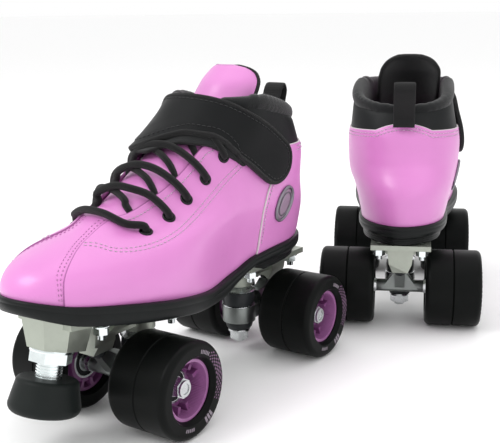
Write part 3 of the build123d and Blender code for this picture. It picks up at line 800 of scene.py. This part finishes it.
ABOVE_FRONT_EDGE = 0.8 * np.where(Y < 6, Z - line_at(STRAP_FRONT_EDGE, X), 60.0)
STRAP_FIELD = np.minimum(
    np.minimum(outline_distance(STRAP_OUTLINE, Y, Z), ABOVE_FRONT_EDGE),
    np.where(X < -20, STRAP_INNER_END - Y, 50.0),
)
STRAP_PAD_FIELD = np.minimum(
    np.minimum(outline_distance(STRAP_OUTLINE, Y - 1.0, Z + 3.0), ABOVE_FRONT_EDGE + 3.0),
    np.where(X < -20, STRAP_INNER_END - 3 - Y, 12.0 - Y),
)


def near_front():
    """1 over the middle of the instep, fading to 0 at the sides."""
    share = np.clip(1 - np.abs(X) / 60.0, 0, 1) * np.clip((24.0 - Y) / 30.0, 0, 1)
    return share * share * (3 - 2 * share)


NEAR_FRONT = near_front()


# ---- boot pieces ----
def on_vamp(points):
    """True for points of the vamp that lie clear of the sole."""
    above = points[:, 2] > line_at(SOLE_TOP, points[:, 1]) + 1.5
    return above & (points[:, 1] < -92) & (np.abs(points[:, 0]) > 3)


def beside_laces(points):
    return (points[:, 1] > -93) & (points[:, 1] < -8) & (np.abs(points[:, 0]) < 33)


def over_heel(points):
    return (points[:, 2] > 153) & (points[:, 1] > 70)


def up_counter_front(points):
    return (points[:, 1] < 60) & (points[:, 2] > 91)


def stitched(field, distance, lift, keep, **thread):
    """Stitches at a distance inside a field's edge, where keep(points) is true."""
    rows = []
    for line in contour(field, distance, lift):
        for part in parts_of(line, keep):
            rows += stitches(part, **thread)
    return rows


def make_upper():
    """Quarters with their eyestays, the vamp under them, and the seams of both."""
    quarters = np.minimum(np.minimum(BESIDE_OPENING, ABOVE_SOLE + 2.0), BELOW_QUARTER_TOP)
    add_panel("quarters", "boot", panel(quarters, 0.0, thickness=2.2, rounding=0.7),
              [PINK_LEATHER, DARK_EDGE], ["upper"])
    over = line_at(OPENING, Y) + 5.0 - SIDEWAYS
    vamp = np.minimum(np.minimum(over, -86.0 - Y), ABOVE_SOLE + 2.0)
    add_panel("vamp", "boot", panel(vamp, -0.9, thickness=1.4, rounding=0.4),
              [PINK_LEATHER, RAW_EDGE])
    edge_rows = stitched(quarters, 2.6, 0.05, beside_laces)
    seam_rows = []
    for distance in (2.6, 5.2):
        seam_rows += stitched(-BESIDE_OPENING, distance, -0.9, on_vamp,
                              radius=0.26, length=1.5, gap=1.4)
    arc = on_boot(smooth_path(STITCH_ARC, 1.5))
    for distance in (-1.5, 1.5):
        rows = stitches(offset_line(arc, distance), 0.3)
        edge_rows += rows + [mirror_shape_onto_boot(row) for row in rows]
    add_pieces("upper_stitching", "boot", join(edge_rows), [PINK_THREAD])
    add_pieces("vamp_stitching", "boot", join(seam_rows), [DARK_PINK_THREAD])


def mirror_shape_onto_boot(shape):
    """The same small shape on the other side of the boot, moved onto its surface."""
    points, faces = shape
    points = points * (-1, 1, 1)
    middle = points.mean(axis=0)
    place, _ = on_boot([middle])
    return points + (place[0] - middle), [tuple(reversed(face)) for face in faces]


def make_counter():
    """Heel counter, arched over the heel, with its two rows of stitches."""
    top = np.where(Y > 70, np.maximum(COUNTER_ARCH, BELOW_QUARTER_TOP), BELOW_QUARTER_TOP)
    field = np.minimum(np.minimum(BEHIND_COUNTER_EDGE, ABOVE_SOLE + 1.0), top)
    add_panel("counter_panel", "boot", panel(field, 1.25, thickness=1.6, rounding=0.7),
              [PINK_LEATHER, COUNTER_EDGE_PAINT], ["heel_counter"])
    rows = stitched(field, 2.2, 1.3, over_heel) + stitched(field, 4.6, 1.3, over_heel)
    rows += stitched(field, 2.0, 1.3, up_counter_front)
    add_pieces("counter_stitching", "boot", join(rows), [PINK_THREAD])


# the collar's section, as (share of its height, distance outside the boot)
COLLAR_SECTION = (
    (0.0, -1.0), (0.0, 0.1), (0.2, 0.2), (0.45, 0.3), (0.6, 0.3), (0.68, 0.1), (0.70, -0.5),
    (0.72, 0.4), (0.78, 1.3), (0.86, 1.7), (0.93, 1.2), (0.98, -0.4), (1.0, -2.6),
    (0.99, -5.0), (0.94, -7.2), (0.85, -8.4), (0.7, -8.6), (0.5, -7.6), (0.3, -6.4), (0.1, -5.6),
    (0.0, -4.6),
)
COLLAR_MIDDLE = -2.6
COLLAR_SKIN_STEPS = 6
# its gap at the toe side, as a share of the way round the boot
COLLAR_GAP = 0.073


def make_collar():
    """Padded collar: smooth skin outside, a soft roll on top and a thick lined inside."""
    columns = [
        column for column in range(GRID_COLUMNS)
        if COLLAR_GAP < column / GRID_COLUMNS < 1 - COLLAR_GAP
    ]
    rings = []
    for order, column in enumerate(columns):
        low, high = collar_edges(column)
        from_end = min(order, len(columns) - 1 - order)
        taper = math.sqrt(min(1.0, (from_end + 0.3) / 6.0))
        ring = []
        for share, out in COLLAR_SECTION:
            height = low + (high - low) * (0.5 + (share - 0.5) * (0.8 + 0.2 * taper))
            lift = COLLAR_MIDDLE + (out - COLLAR_MIDDLE) * taper
            ring.append(boot_column(column, height, lift))
        rings.append(ring)
    rings = evened(np.array(rings), 3)
    count, sides = rings.shape[:2]
    index = numbered(count, sides)
    indices = ([0] * COLLAR_SKIN_STEPS + [1] * (sides - COLLAR_SKIN_STEPS)) * (count - 1) + [1, 1]
    shape = (rings.reshape(-1, 3), strips(index) + end_faces(index))
    pieces = add_pieces("padded_collar", "boot", shape, [COLLAR_SKIN, LINING],
                        ["collar"], indices)
    for piece in pieces:
        soften = piece.modifiers.new("soften", "SUBSURF")
        soften.levels = soften.render_levels = 1


def collar_edges(column):
    """Lower and upper edge height of the collar at one column of the boot grid."""
    over = HEIGHTS - line_at(COLLAR_TOP, GRID[:, column, 1])
    high = HEIGHTS[int(np.argmax(over > 0))] if (over > 0).any() else HEIGHTS[-1]
    under = HEIGHTS - line_at(QUARTER_TOP, GRID[:, column, 1]) + 3.0
    return min(HEIGHTS[int(np.argmax(under > 0))], high - 9.0), high


def boot_column(column, height, lift):
    """The point at one height of a column of the boot grid, lifted off the surface."""
    place = read_each(height, HEIGHTS, GRID[:, column])
    return place + read_each(height, HEIGHTS, NORMAL[:, column]) * lift


# half the tongue's bend across its width, in radians, and where its binding starts, in mm
TONGUE_BEND = 1.15
BINDING_FROM = 166.0


def tongue_sheets():
    """Heights of the tongue's rows, and the points of its front and back."""
    table = np.array(TONGUE, float)
    run = distances(table[:, :2])
    fine = hermite(run, table, slopes(run, table), np.linspace(0, run[-1], 70))
    front, back = [], []
    for row, (rise, run_back) in zip(fine, unit(np.gradient(fine[:, :2], axis=0))):
        height, toe, half, set_back, thick, centre = row
        inward = np.array((0.0, rise, -run_back)) * thick * 0.5
        row_front, row_back = [], []
        for share in np.linspace(-1, 1, 31):
            angle = share * TONGUE_BEND
            x = centre + half * math.sin(angle) / math.sin(TONGUE_BEND)
            y = toe + set_back * (1 - math.cos(angle)) / (1 - math.cos(TONGUE_BEND))
            edge_share = math.sqrt(max(0.0, 1 - abs(share) ** 5))
            middle = np.array((x, y, height)) + inward
            row_front.append(middle - inward * edge_share)
            row_back.append(middle + inward * edge_share)
        front.append(row_front)
        back.append(row_back)
    return fine[:, 0], np.array(front), np.array(back)


def make_tongue():
    """Padded tongue: crowned front, soft back, bound along its upper edge."""
    heights, front, back = tongue_sheets()
    rows, columns = front.shape[:2]
    index = numbered(rows, columns)
    shift = rows * columns
    corners = (index[:-1, :-1], index[:-1, 1:], index[1:, 1:], index[1:, :-1])
    faces = [tuple(face) for face in np.stack(corners, axis=-1).reshape(-1, 4).tolist()]
    faces_back = [tuple(i + shift for i in reversed(face)) for face in faces]
    around = np.concatenate([index[0], index[1:, -1], index[-1, -2::-1], index[-2:0:-1, 0]])
    faces_back += bridge(around + shift, around)
    indices = [0] * len(faces) + [1] * len(faces_back)
    points = np.vstack([front.reshape(-1, 3), back.reshape(-1, 3)])
    pieces = add_pieces("padded_tongue", "boot", (points, faces + faces_back),
                        [PINK_LEATHER, LINING], ["tongue"], indices)
    middle = 0.5 * (front + back)
    bound = heights > BINDING_FROM
    edge = np.vstack([middle[bound, -1], middle[-1, -2:0:-1], middle[bound, 0][::-1]])
    add_pieces("tongue_binding", "boot", tube(smooth_path(edge, 2.0), 1.5), [BINDING])


def make_strap():
    """Ankle strap over its lining pad, stitched and piped round its edge."""
    bulge = 4.2 + 2.6 * NEAR_FRONT
    puff = 0.9 * np.clip(STRAP_FIELD / 5.0, 0, 1) ** 0.5
    band = panel(STRAP_FIELD, bulge + puff, thickness=2.6, rounding=1.1)
    add_panel("strap_band", "strap", band, [BLACK_SYNTHETIC, BINDING],
                     ["strap"])
    pad = panel(STRAP_PAD_FIELD, 2.0 + 2.2 * NEAR_FRONT, thickness=2.0, rounding=0.9)
    add_panel("strap_lining_pad", "strap", pad, [LINING, BINDING])
    rows = []
    for line in contour(STRAP_FIELD, 3.2, bulge + 0.75):
        rows += stitches(line, radius=0.33, length=2.4, gap=1.0)
    add_pieces("strap_stitching", "strap", join(rows), [BLACK_THREAD])
    piping = []
    for points, _ in contour(STRAP_FIELD, 0.4, bulge - 0.25):
        path = smooth_path(points[::2], 1.6, closed=True)
        piping.append(tube(path, 1.45, sides=10, closed=True))
    add_pieces("strap_piping", "strap", join(piping), [BINDING])


# the line of the pull loop's webbing up and over, as (y, z)
LOOP_LINE = (
    (107.8, 165.5), (107, 173), (108.8, 181), (111.6, 189), (113, 195),
    (110.5, 199.6), (107, 197), (104.5, 192), (100.5, 186), (96, 181.5),
)


def powered(value, power):
    """A power of a value's size, with the value's sign."""
    return np.sign(value) * np.abs(value) ** power


def make_pull_loop():
    """Webbing up the back of the boot, folded over into a finger loop."""
    points = smooth_path([(0.0, y, z) for y, z in LOOP_LINE], 1.0)
    half_width, half_thick, count = 8.2, 0.85, 16
    out = np.cross(unit(np.gradient(points, axis=0)), (1.0, 0, 0))
    angle = 2 * math.pi * np.arange(count) / count
    across = half_width * powered(np.cos(angle), 0.35)
    through = half_thick * powered(np.sin(angle), 0.6)
    rib = 1.0 + 0.16 * np.cos(math.pi * np.arange(len(points)))
    rings = points[:, None] + across[:, None] * np.array((1.0, 0, 0))
    rings = rings + out[:, None] * through[:, None] * rib[:, None, None]
    index = numbered(len(points), count)
    add_pieces("webbing_loop", "boot", (rings.reshape(-1, 3), strips(index) + end_faces(index)),
               [WEBBING], ["pull_loop"])


def make_badge():
    """Plain oval badge: a metal ring round a smooth inset, on the outer side of the heel."""
    centre, _ = on_boot([(42.5, 54, 120)], 1.2)
    _, middle_y, middle_z = centre[0]
    tilt, count = 0.32, 48
    rings = []
    for share in (0.35, 0.7, 1.0):
        row = []
        for angle in np.linspace(0, 2 * math.pi, count, endpoint=False):
            a, b = 9.6 * share * math.cos(angle), 12.6 * share * math.sin(angle)
            y = middle_y + a * math.cos(tilt) + b * math.sin(tilt)
            row.append((43.0, y, middle_z - a * math.sin(tilt) + b * math.cos(tilt)))
        rings.append(on_boot(row, 2.1 + 0.5 * (1 - share))[0])
    rim = tube(rings[-1], 1.25, closed=True)
    bead = tube(on_boot(rings[1], 2.7)[0], 0.4, sides=8, closed=True)
    add_pieces("badge_ring", "boot", join([rim, bead]), [BADGE], ["badge"])
    index = numbered(len(rings), count)
    front = np.vstack(rings)
    faces = strips(index[::-1]) + [tuple(index[0].tolist())]
    back = [tuple(i + len(front) for i in reversed(face)) for face in faces]
    edge = bridge(index[-1] + len(front), index[-1])
    points = np.vstack([front, front - np.array((1.6, 0, 0))])
    add_pieces("badge_face", "boot", (points, faces + back + edge), [BADGE_FACE])


def eyelet_places():
    """Centres and directions of the lace holes, outer side and inner side, from the toe up."""
    return {side: on_boot([(side * x, y, z) for x, y, z in EYELETS], 0.1) for side in (1, -1)}


EYELET_RING = (
    (2.45, -1.0), (2.5, 0.3), (2.8, 0.75), (3.4, 0.85), (4.0, 0.65), (4.35, 0.2), (4.3, -0.4),
)


def make_eyelets():
    points, faces = ring_lathe(EYELET_RING, 32)
    shapes = []
    for places, normals in eyelet_places().values():
        shapes += [(turned_to(points, n, p), faces) for p, n in zip(places, normals)]
    add_pieces("eyelet_rings", "boot", join(shapes), [EYELET], ["eyelets"])


def make_laces():
    """One round lace: a bar across the lowest eyelets, then crossings that come up under one
    edge of the opening and go down through the next eyelet on the other side."""
    places = eyelet_places()

    def into(side, row):
        place, normal = places[side][0][row], places[side][1][row]
        above = place + normal * 3.4 + np.array((-side * 1.6, 0.0, 0.0))
        return [above, place + normal * 0.2, place - normal * 5.0]

    bar = [(20, -88, 3.2), (8, -92.5, 3.0), (-6, -92.5, 3.0), (-18, -88, 3.2)]
    paths = [into(1, 0)[::-1] + [boot_top(*point) for point in bar] + into(-1, 0)]
    for row in range(len(EYELETS) - 1):
        for side in (-1, 1):
            start = EYELETS[row][1] + 2.0
            climb = EYELETS[row + 1][1] - start
            over = 4.6 if side < 0 else 0.4
            edge = float(line_at(OPENING, start))
            sag = 1.5 if row == 3 else 0.0
            crossing = (
                # distance out from the middle, place along the boot, height above it
                (edge + 4, start - 1.0, -5.5),
                (edge - 1, start - 0.3, -2.6),
                (edge - 6, start + 0.3, -1.0),
                (11.0, start + 1.0, over * 0.55),
                (0.0, start + 0.25 * climb, over - sag),
                (-11.0, start + 0.45 * climb, over * 0.5 + 1.2 - sag),
                (-edge - 1.5, start + 0.75 * climb, 3.3),
            )
            path = [boot_top(side * out, y, lift) for out, y, lift in crossing]
            paths.append(path + into(-side, row + 1))
    shapes = [tube(smooth_path(path, 1.2), LACE_RADIUS, sides=14, flat=0.9) for path in paths]
    add_pieces("round_laces", "boot", join(shapes), [LACE], ["laces"])


# ---- sole ----
def sole_outline(level, count=240):
    """Points and outward directions round the boot at one level, seen from above."""
    ring = closed_ring(np.array(level_points(LEVELS[level]), float), count // 2)
    tangent = unit(np.roll(ring, -1, axis=0) - np.roll(ring, 1, axis=0))
    return ring, np.stack([tangent[:, 1], -tangent[:, 0]], axis=1)


def stacked(outline, profile, low_at, high_at):
    """Rings round an outline: profile is (share of height, distance outward)."""
    ring, outward = outline
    rings = []
    for share, out in profile:
        xy = ring + outward * out
        low, high = low_at(xy[:, 1]), high_at(xy[:, 1])
        rings.append(np.column_stack([xy, low + (high - low) * share]))
    return np.vstack(rings), numbered(len(profile), len(ring))


def cap(ring, flip):
    """Strips across a closed outline whose two sides run from toe to heel and back."""
    count = len(ring)
    faces = []
    for i in range(count // 2):
        a, b = int(ring[i]), int(ring[(i + 1) % count])
        c, d = int(ring[(-i - 1) % count]), int(ring[(-i) % count])
        face = tuple(dict.fromkeys((a, b, c, d)))
        faces.append(tuple(reversed(face)) if flip else face)
    return faces


SOLE_EDGE = (
    (0.0, -5.0), (0.0, 0.6), (0.06, 1.5), (0.2, 2.2), (0.34, 2.7), (0.62, 2.9), (0.66, 2.55),
    (0.70, 2.9), (0.90, 2.8), (0.98, 2.3), (1.04, 1.3), (1.04, -3.0),
)
HEEL_EDGE = (
    (0.0, -1.2), (0.1, 0.0), (0.27, 0.3), (0.30, -0.15), (0.33, 0.3), (0.49, 0.3), (0.52, -0.15),
    (0.55, 0.3), (0.71, 0.3), (0.74, -0.15), (0.77, 0.3), (1.02, 0.3),
)


def make_sole():
    """Sole band round the boot, and the stacked heel with a straight front face."""
    points, index = stacked(sole_outline(2), SOLE_EDGE, lambda y: line_at(SOLE_BOTTOM, y),
                            lambda y: line_at(SOLE_TOP, y))
    faces = strips(index) + cap(index[0], True) + cap(index[-1], False)
    add_pieces("sole_band", "boot", (points, faces), [SOLE], ["sole"])
    ring, outward = sole_outline(1)
    behind = ring[:, 1] > HEEL_FRONT
    points, index = stacked((ring[behind], outward[behind]), HEEL_EDGE,
                            lambda y: np.full_like(y, HEEL_BOTTOM),
                            lambda y: np.full_like(y, HEEL_TOP))
    add_pieces("heel_lift", "boot", (points, strips(index) + end_faces(index)), [SOLE])


# ---- running gear ----
# CAD nodes with their material and the width of their rounded edges, in metres
CAD_FINISHES = (
    ("front_base", CAST, 0.0011), ("rear_base", CAST, 0.0011),
    ("front_hanger", DARK_CAST, 0.0008), ("rear_hanger", DARK_CAST, 0.0008),
    ("front_axle", STEEL, 0.0003), ("rear_axle", STEEL, 0.0003),
    ("base_fasteners", ZINC, 0.0003), ("kingpins", STEEL, 0.0004),
    ("toe_stop_stem", ZINC, 0.0), ("toe_stop", STOP, 0.0), ("insole", FOOTBED, 0.0),
)
# radii on the hub, mm
BEARING_RADIUS = 10.9
SEAL_RADII = (6.5, 9.5)
RIM_RADIUS = 17.0
RIM_DEPTH = 7.5


def finished(node, materials, width):
    """Gives a CAD node its materials and rounds its sharp edges as it is shown."""
    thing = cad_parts[node]
    thing.data.materials.clear()
    for material in materials:
        thing.data.materials.append(material)
    if width:
        weld = thing.modifiers.new("weld", "WELD")
        weld.merge_threshold = 0.00001
        edge = thing.modifiers.new("edge", "BEVEL")
        edge.width = width
        edge.segments = 2
        edge.limit_method = "ANGLE"
        edge.angle_limit = math.radians(38)
        edge.harden_normals = False
    return thing


def make_running_gear():
    for skate in SKATES:
        for node, material, width in CAD_FINISHES:
            finished(skate.side + "_" + node, [material], width)
        for where in ("front", "rear"):
            for wheel_side, sign in (("outer", 1), ("inner", -1)):
                wheel = skate.side + "_" + where + "_" + wheel_side
                finished(wheel + "_tyre", [TYRE], 0.0)
                paint_hub(wheel + "_hub", skate.axes[0] * sign)


def paint_hub(node, axis):
    """Purple hub with a lighter flared rim; the bearings in it are steel with dark seals."""
    hub = finished(node, [HUB, HUB_RIM, STEEL, BEARING_SEAL], 0.0003)
    middle = np.array(box_middle(node))
    for polygon in hub.data.polygons:
        place = np.array(polygon.center) - middle
        along = float(place @ axis) / MM
        radius = float(np.linalg.norm(place - axis * (place @ axis))) / MM
        if radius < BEARING_RADIUS:
            polygon.material_index = 3 if SEAL_RADII[0] < radius < SEAL_RADII[1] else 2
        elif radius > RIM_RADIUS and along > RIM_DEPTH:
            polygon.material_index = 1


def barrel(bottom, top, low_radius, high_radius, bulge, hole=4.1):
    """Closed outline of a cushion with a hole, as (radius, height), for ring_lathe."""
    rows = [(hole, bottom), (low_radius - 0.9, bottom), (low_radius, bottom + 0.8)]
    for share in (0.25, 0.5, 0.75):
        radius = low_radius + (high_radius - low_radius) * share
        swell = bulge * math.sin(math.pi * share)
        rows.append((radius + swell, bottom + (top - bottom) * share))
    rows += [(high_radius, top - 0.8), (high_radius - 0.9, top), (hole, top)]
    return rows


# outlines as (radius, height): the cushions with the height of their seat, and rings
CUSHIONS = (
    ("upper", barrel(37.0, 48.5, 11.4, 11.2, 0.7), 48.5),
    ("lower", barrel(18.1, 24.3, 9.0, 10.4, 0.5), 18.0),
)
WASHER_RING = ((4.2, 36.4), (11.9, 36.4), (12.3, 36.7), (12.3, 37.1), (11.9, 37.4), (4.2, 37.4))
CUP_RING = ((3.75, -3.2), (5.3, -3.2), (5.3, 3.0), (3.75, 3.0))


def make_cushions():
    """Urethane cushions of both trucks, their washers, and the pivot cups."""
    for where, axle, toward in (("front", -WHEELBASE / 2, -1), ("rear", WHEELBASE / 2, 1)):
        y = axle - toward * KINGPIN_OFFSET
        for name, outline, seat in CUSHIONS:
            points, faces = ring_lathe(outline)
            stands_for = ["cushions"] if (where, name) == ("front", "upper") else []
            pieces = add_pieces(where + "_" + name + "_cushion", "boot", (points + (0, y, 0), faces),
                                [CUSHION], stands_for)
            for skate, piece in zip(SKATES, pieces):
                tuple(skate.place((0, y, seat)))
                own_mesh(piece)
        add_pieces(where + "_pivot_cup", "boot", pivot_cup(axle, toward), [CUSHION])
        points, faces = ring_lathe(WASHER_RING)
        add_pieces(where + "_cushion_washer", where + "_truck", (points + (0, y, 0), faces),
                   [STEEL])


def pivot_cup(axle, toward):
    """Soft cup in the base that the hanger's pivot turns in."""
    ring_middle = np.array((0, axle - toward * KINGPIN_OFFSET, 30.5))
    pivot = np.array((0, axle + toward * 17.0, 50.0))
    direction = unit(pivot - ring_middle)
    points, faces = ring_lathe(CUP_RING, 32)
    return turned_to(points, direction, pivot - direction), faces


def make_tyre_print():
    """Printed marks on the outer face of each tyre: a fading checker and plain bars."""
    for where, axle in (("front", -WHEELBASE / 2), ("rear", WHEELBASE / 2)):
        for wheel_side, sign in (("outer", 1), ("inner", -1)):
            face_x = sign * (WHEEL_OFFSET + TYRE_WIDTH / 2 + PRINT_STANDS_OFF)
            name = where + "_" + wheel_side
            for kind, marks, material in (("_checker_print", CHECKER_MARKS, CHECKER),
                                          ("_plain_print", BAR_MARKS, PRINT)):
                shape = join([mark(face_x, axle, *place) for place in marks])
                add_pieces(name + kind, name + "_wheel", shape, [material], smooth=False)


def mark(face_x, axle, inner, outer, start, stop):
    """A thin printed patch on a tyre's face between two radii and two angles in degrees."""
    corners = []
    for depth in (0.0, -0.05):
        for radius, angle in ((inner, start), (outer, start), (outer, stop), (inner, stop)):
            turn = math.radians(angle)
            x = face_x + (depth if face_x > 0 else -depth)
            corners.append((x, axle + radius * math.cos(turn), AXLE_HEIGHT + radius * math.sin(turn)))
    faces = [(0, 1, 2, 3), (7, 6, 5, 4), (0, 4, 5, 1), (1, 5, 6, 2), (2, 6, 7, 3), (3, 7, 4, 0)]
    if face_x < 0:
        faces = [tuple(reversed(face)) for face in faces]
    return corners, faces


def checker_marks():
    """Inner and outer radius, first and last angle of each patch of the checker."""
    marks = []
    for ring in range(5):
        inner = 22.2 + ring * 1.2
        for step in range(ring % 2, 20, 2):
            fade = 1.0 - 0.035 * abs(step - 10)
            angle = -30 + step * 4.0
            marks.append((inner, inner + 1.2 * fade, angle, angle + 4.0 * fade))
    return marks


def bar_marks():
    """The same for the plain bars; the long ones have a thin line outside them."""
    marks = []
    for start, count, inner, outer, width, gap in BARS:
        for step in range(count):
            angle = start + step * (width + gap)
            marks.append((inner, outer, angle, angle + width))
            if count == 3:
                marks.append((outer + 0.5, outer + 1.0, angle, angle + width))
    return marks


# groups of bars: first angle, count, inner and outer radius, width and gap in degrees
BARS = (
    (-66, 3, 22.6, 26.6, 4.2, 2.0), (52, 6, 23.2, 25.6, 2.0, 1.7), (-112, 5, 23.0, 25.2, 2.6, 1.6),
)
CHECKER_MARKS = checker_marks()
BAR_MARKS = bar_marks()


# ---- stage, light and camera ----
def make_stage():
    material, shader = new_material("paper", (0.97, 0.97, 0.97), 0.9, specular=0.1)
    tint(shader, noise(shader, 30.0, 3.0), (0.3, (0.96, 0.96, 0.96)), (0.7, (0.98, 0.98, 0.98)))
    points = 60.0 * np.array(((-1, -1, 0), (1, -1, 0), (1, 1, 0), (-1, 1, 0)), float)
    points[:, 2] = -0.0002
    floor = new_object("floor", points, [(0, 1, 2, 3)], [material], smooth=False)
    world = bpy.data.worlds.new("studio")
    world.use_nodes = True
    sky = world.node_tree.nodes["Background"]
    sky.inputs["Color"].default_value = (1.0, 1.0, 1.0, 1)
    sky.inputs["Strength"].default_value = 1.0
    bpy.context.scene.world = world
    bpy.context.scene.view_settings.view_transform = "Standard"


def add_light(name, place, size, power):
    data = bpy.data.lights.new(name, "AREA")
    data.shape = "RECTANGLE"
    data.size, data.size_y = size
    data.energy = power
    light = bpy.data.objects.new(name, data)
    light.location = place
    light.rotation_mode = "QUATERNION"
    light.rotation_quaternion = (Vector(LIT_PLACE) - Vector(place)).to_track_quat("-Z", "Y")
    bpy.context.scene.collection.objects.link(light)


LIGHTS = (
    # name, place, size, power
    ("key", (-0.7, -1.3, 1.5), (0.9, 0.9), 17.0), ("fill", (1.6, -0.6, 0.9), (1.2, 1.2), 3.0),
    ("top", (0.0, 0.2, 1.9), (1.6, 1.6), 6.0), ("back", (-0.4, 1.8, 1.0), (1.4, 0.9), 3.0),
)
LIT_PLACE = (0.0, 0.0, 0.1)


def make_camera():
    data = bpy.data.cameras.new("camera")
    data.lens = CAMERA_LENS
    data.sensor_width = 36.0
    camera = bpy.data.objects.new("camera", data)
    camera.location = CAMERA_PLACE
    camera.rotation_euler = (
        math.radians(90 - CAMERA_DOWN), math.radians(CAMERA_ROLL), math.radians(CAMERA_AZIMUTH),
    )
    camera.rotation_mode = "XYZ"
    bpy.context.scene.collection.objects.link(camera)
    bpy.context.scene.camera = camera


make_camera()
make_stage()
for light in LIGHTS:
    add_light(*light)
make_upper()
make_counter()
make_collar()
make_tongue()
make_strap()
make_pull_loop()
make_badge()
make_eyelets()
make_laces()
make_sole()
make_running_gear()
make_cushions()
make_tyre_print()
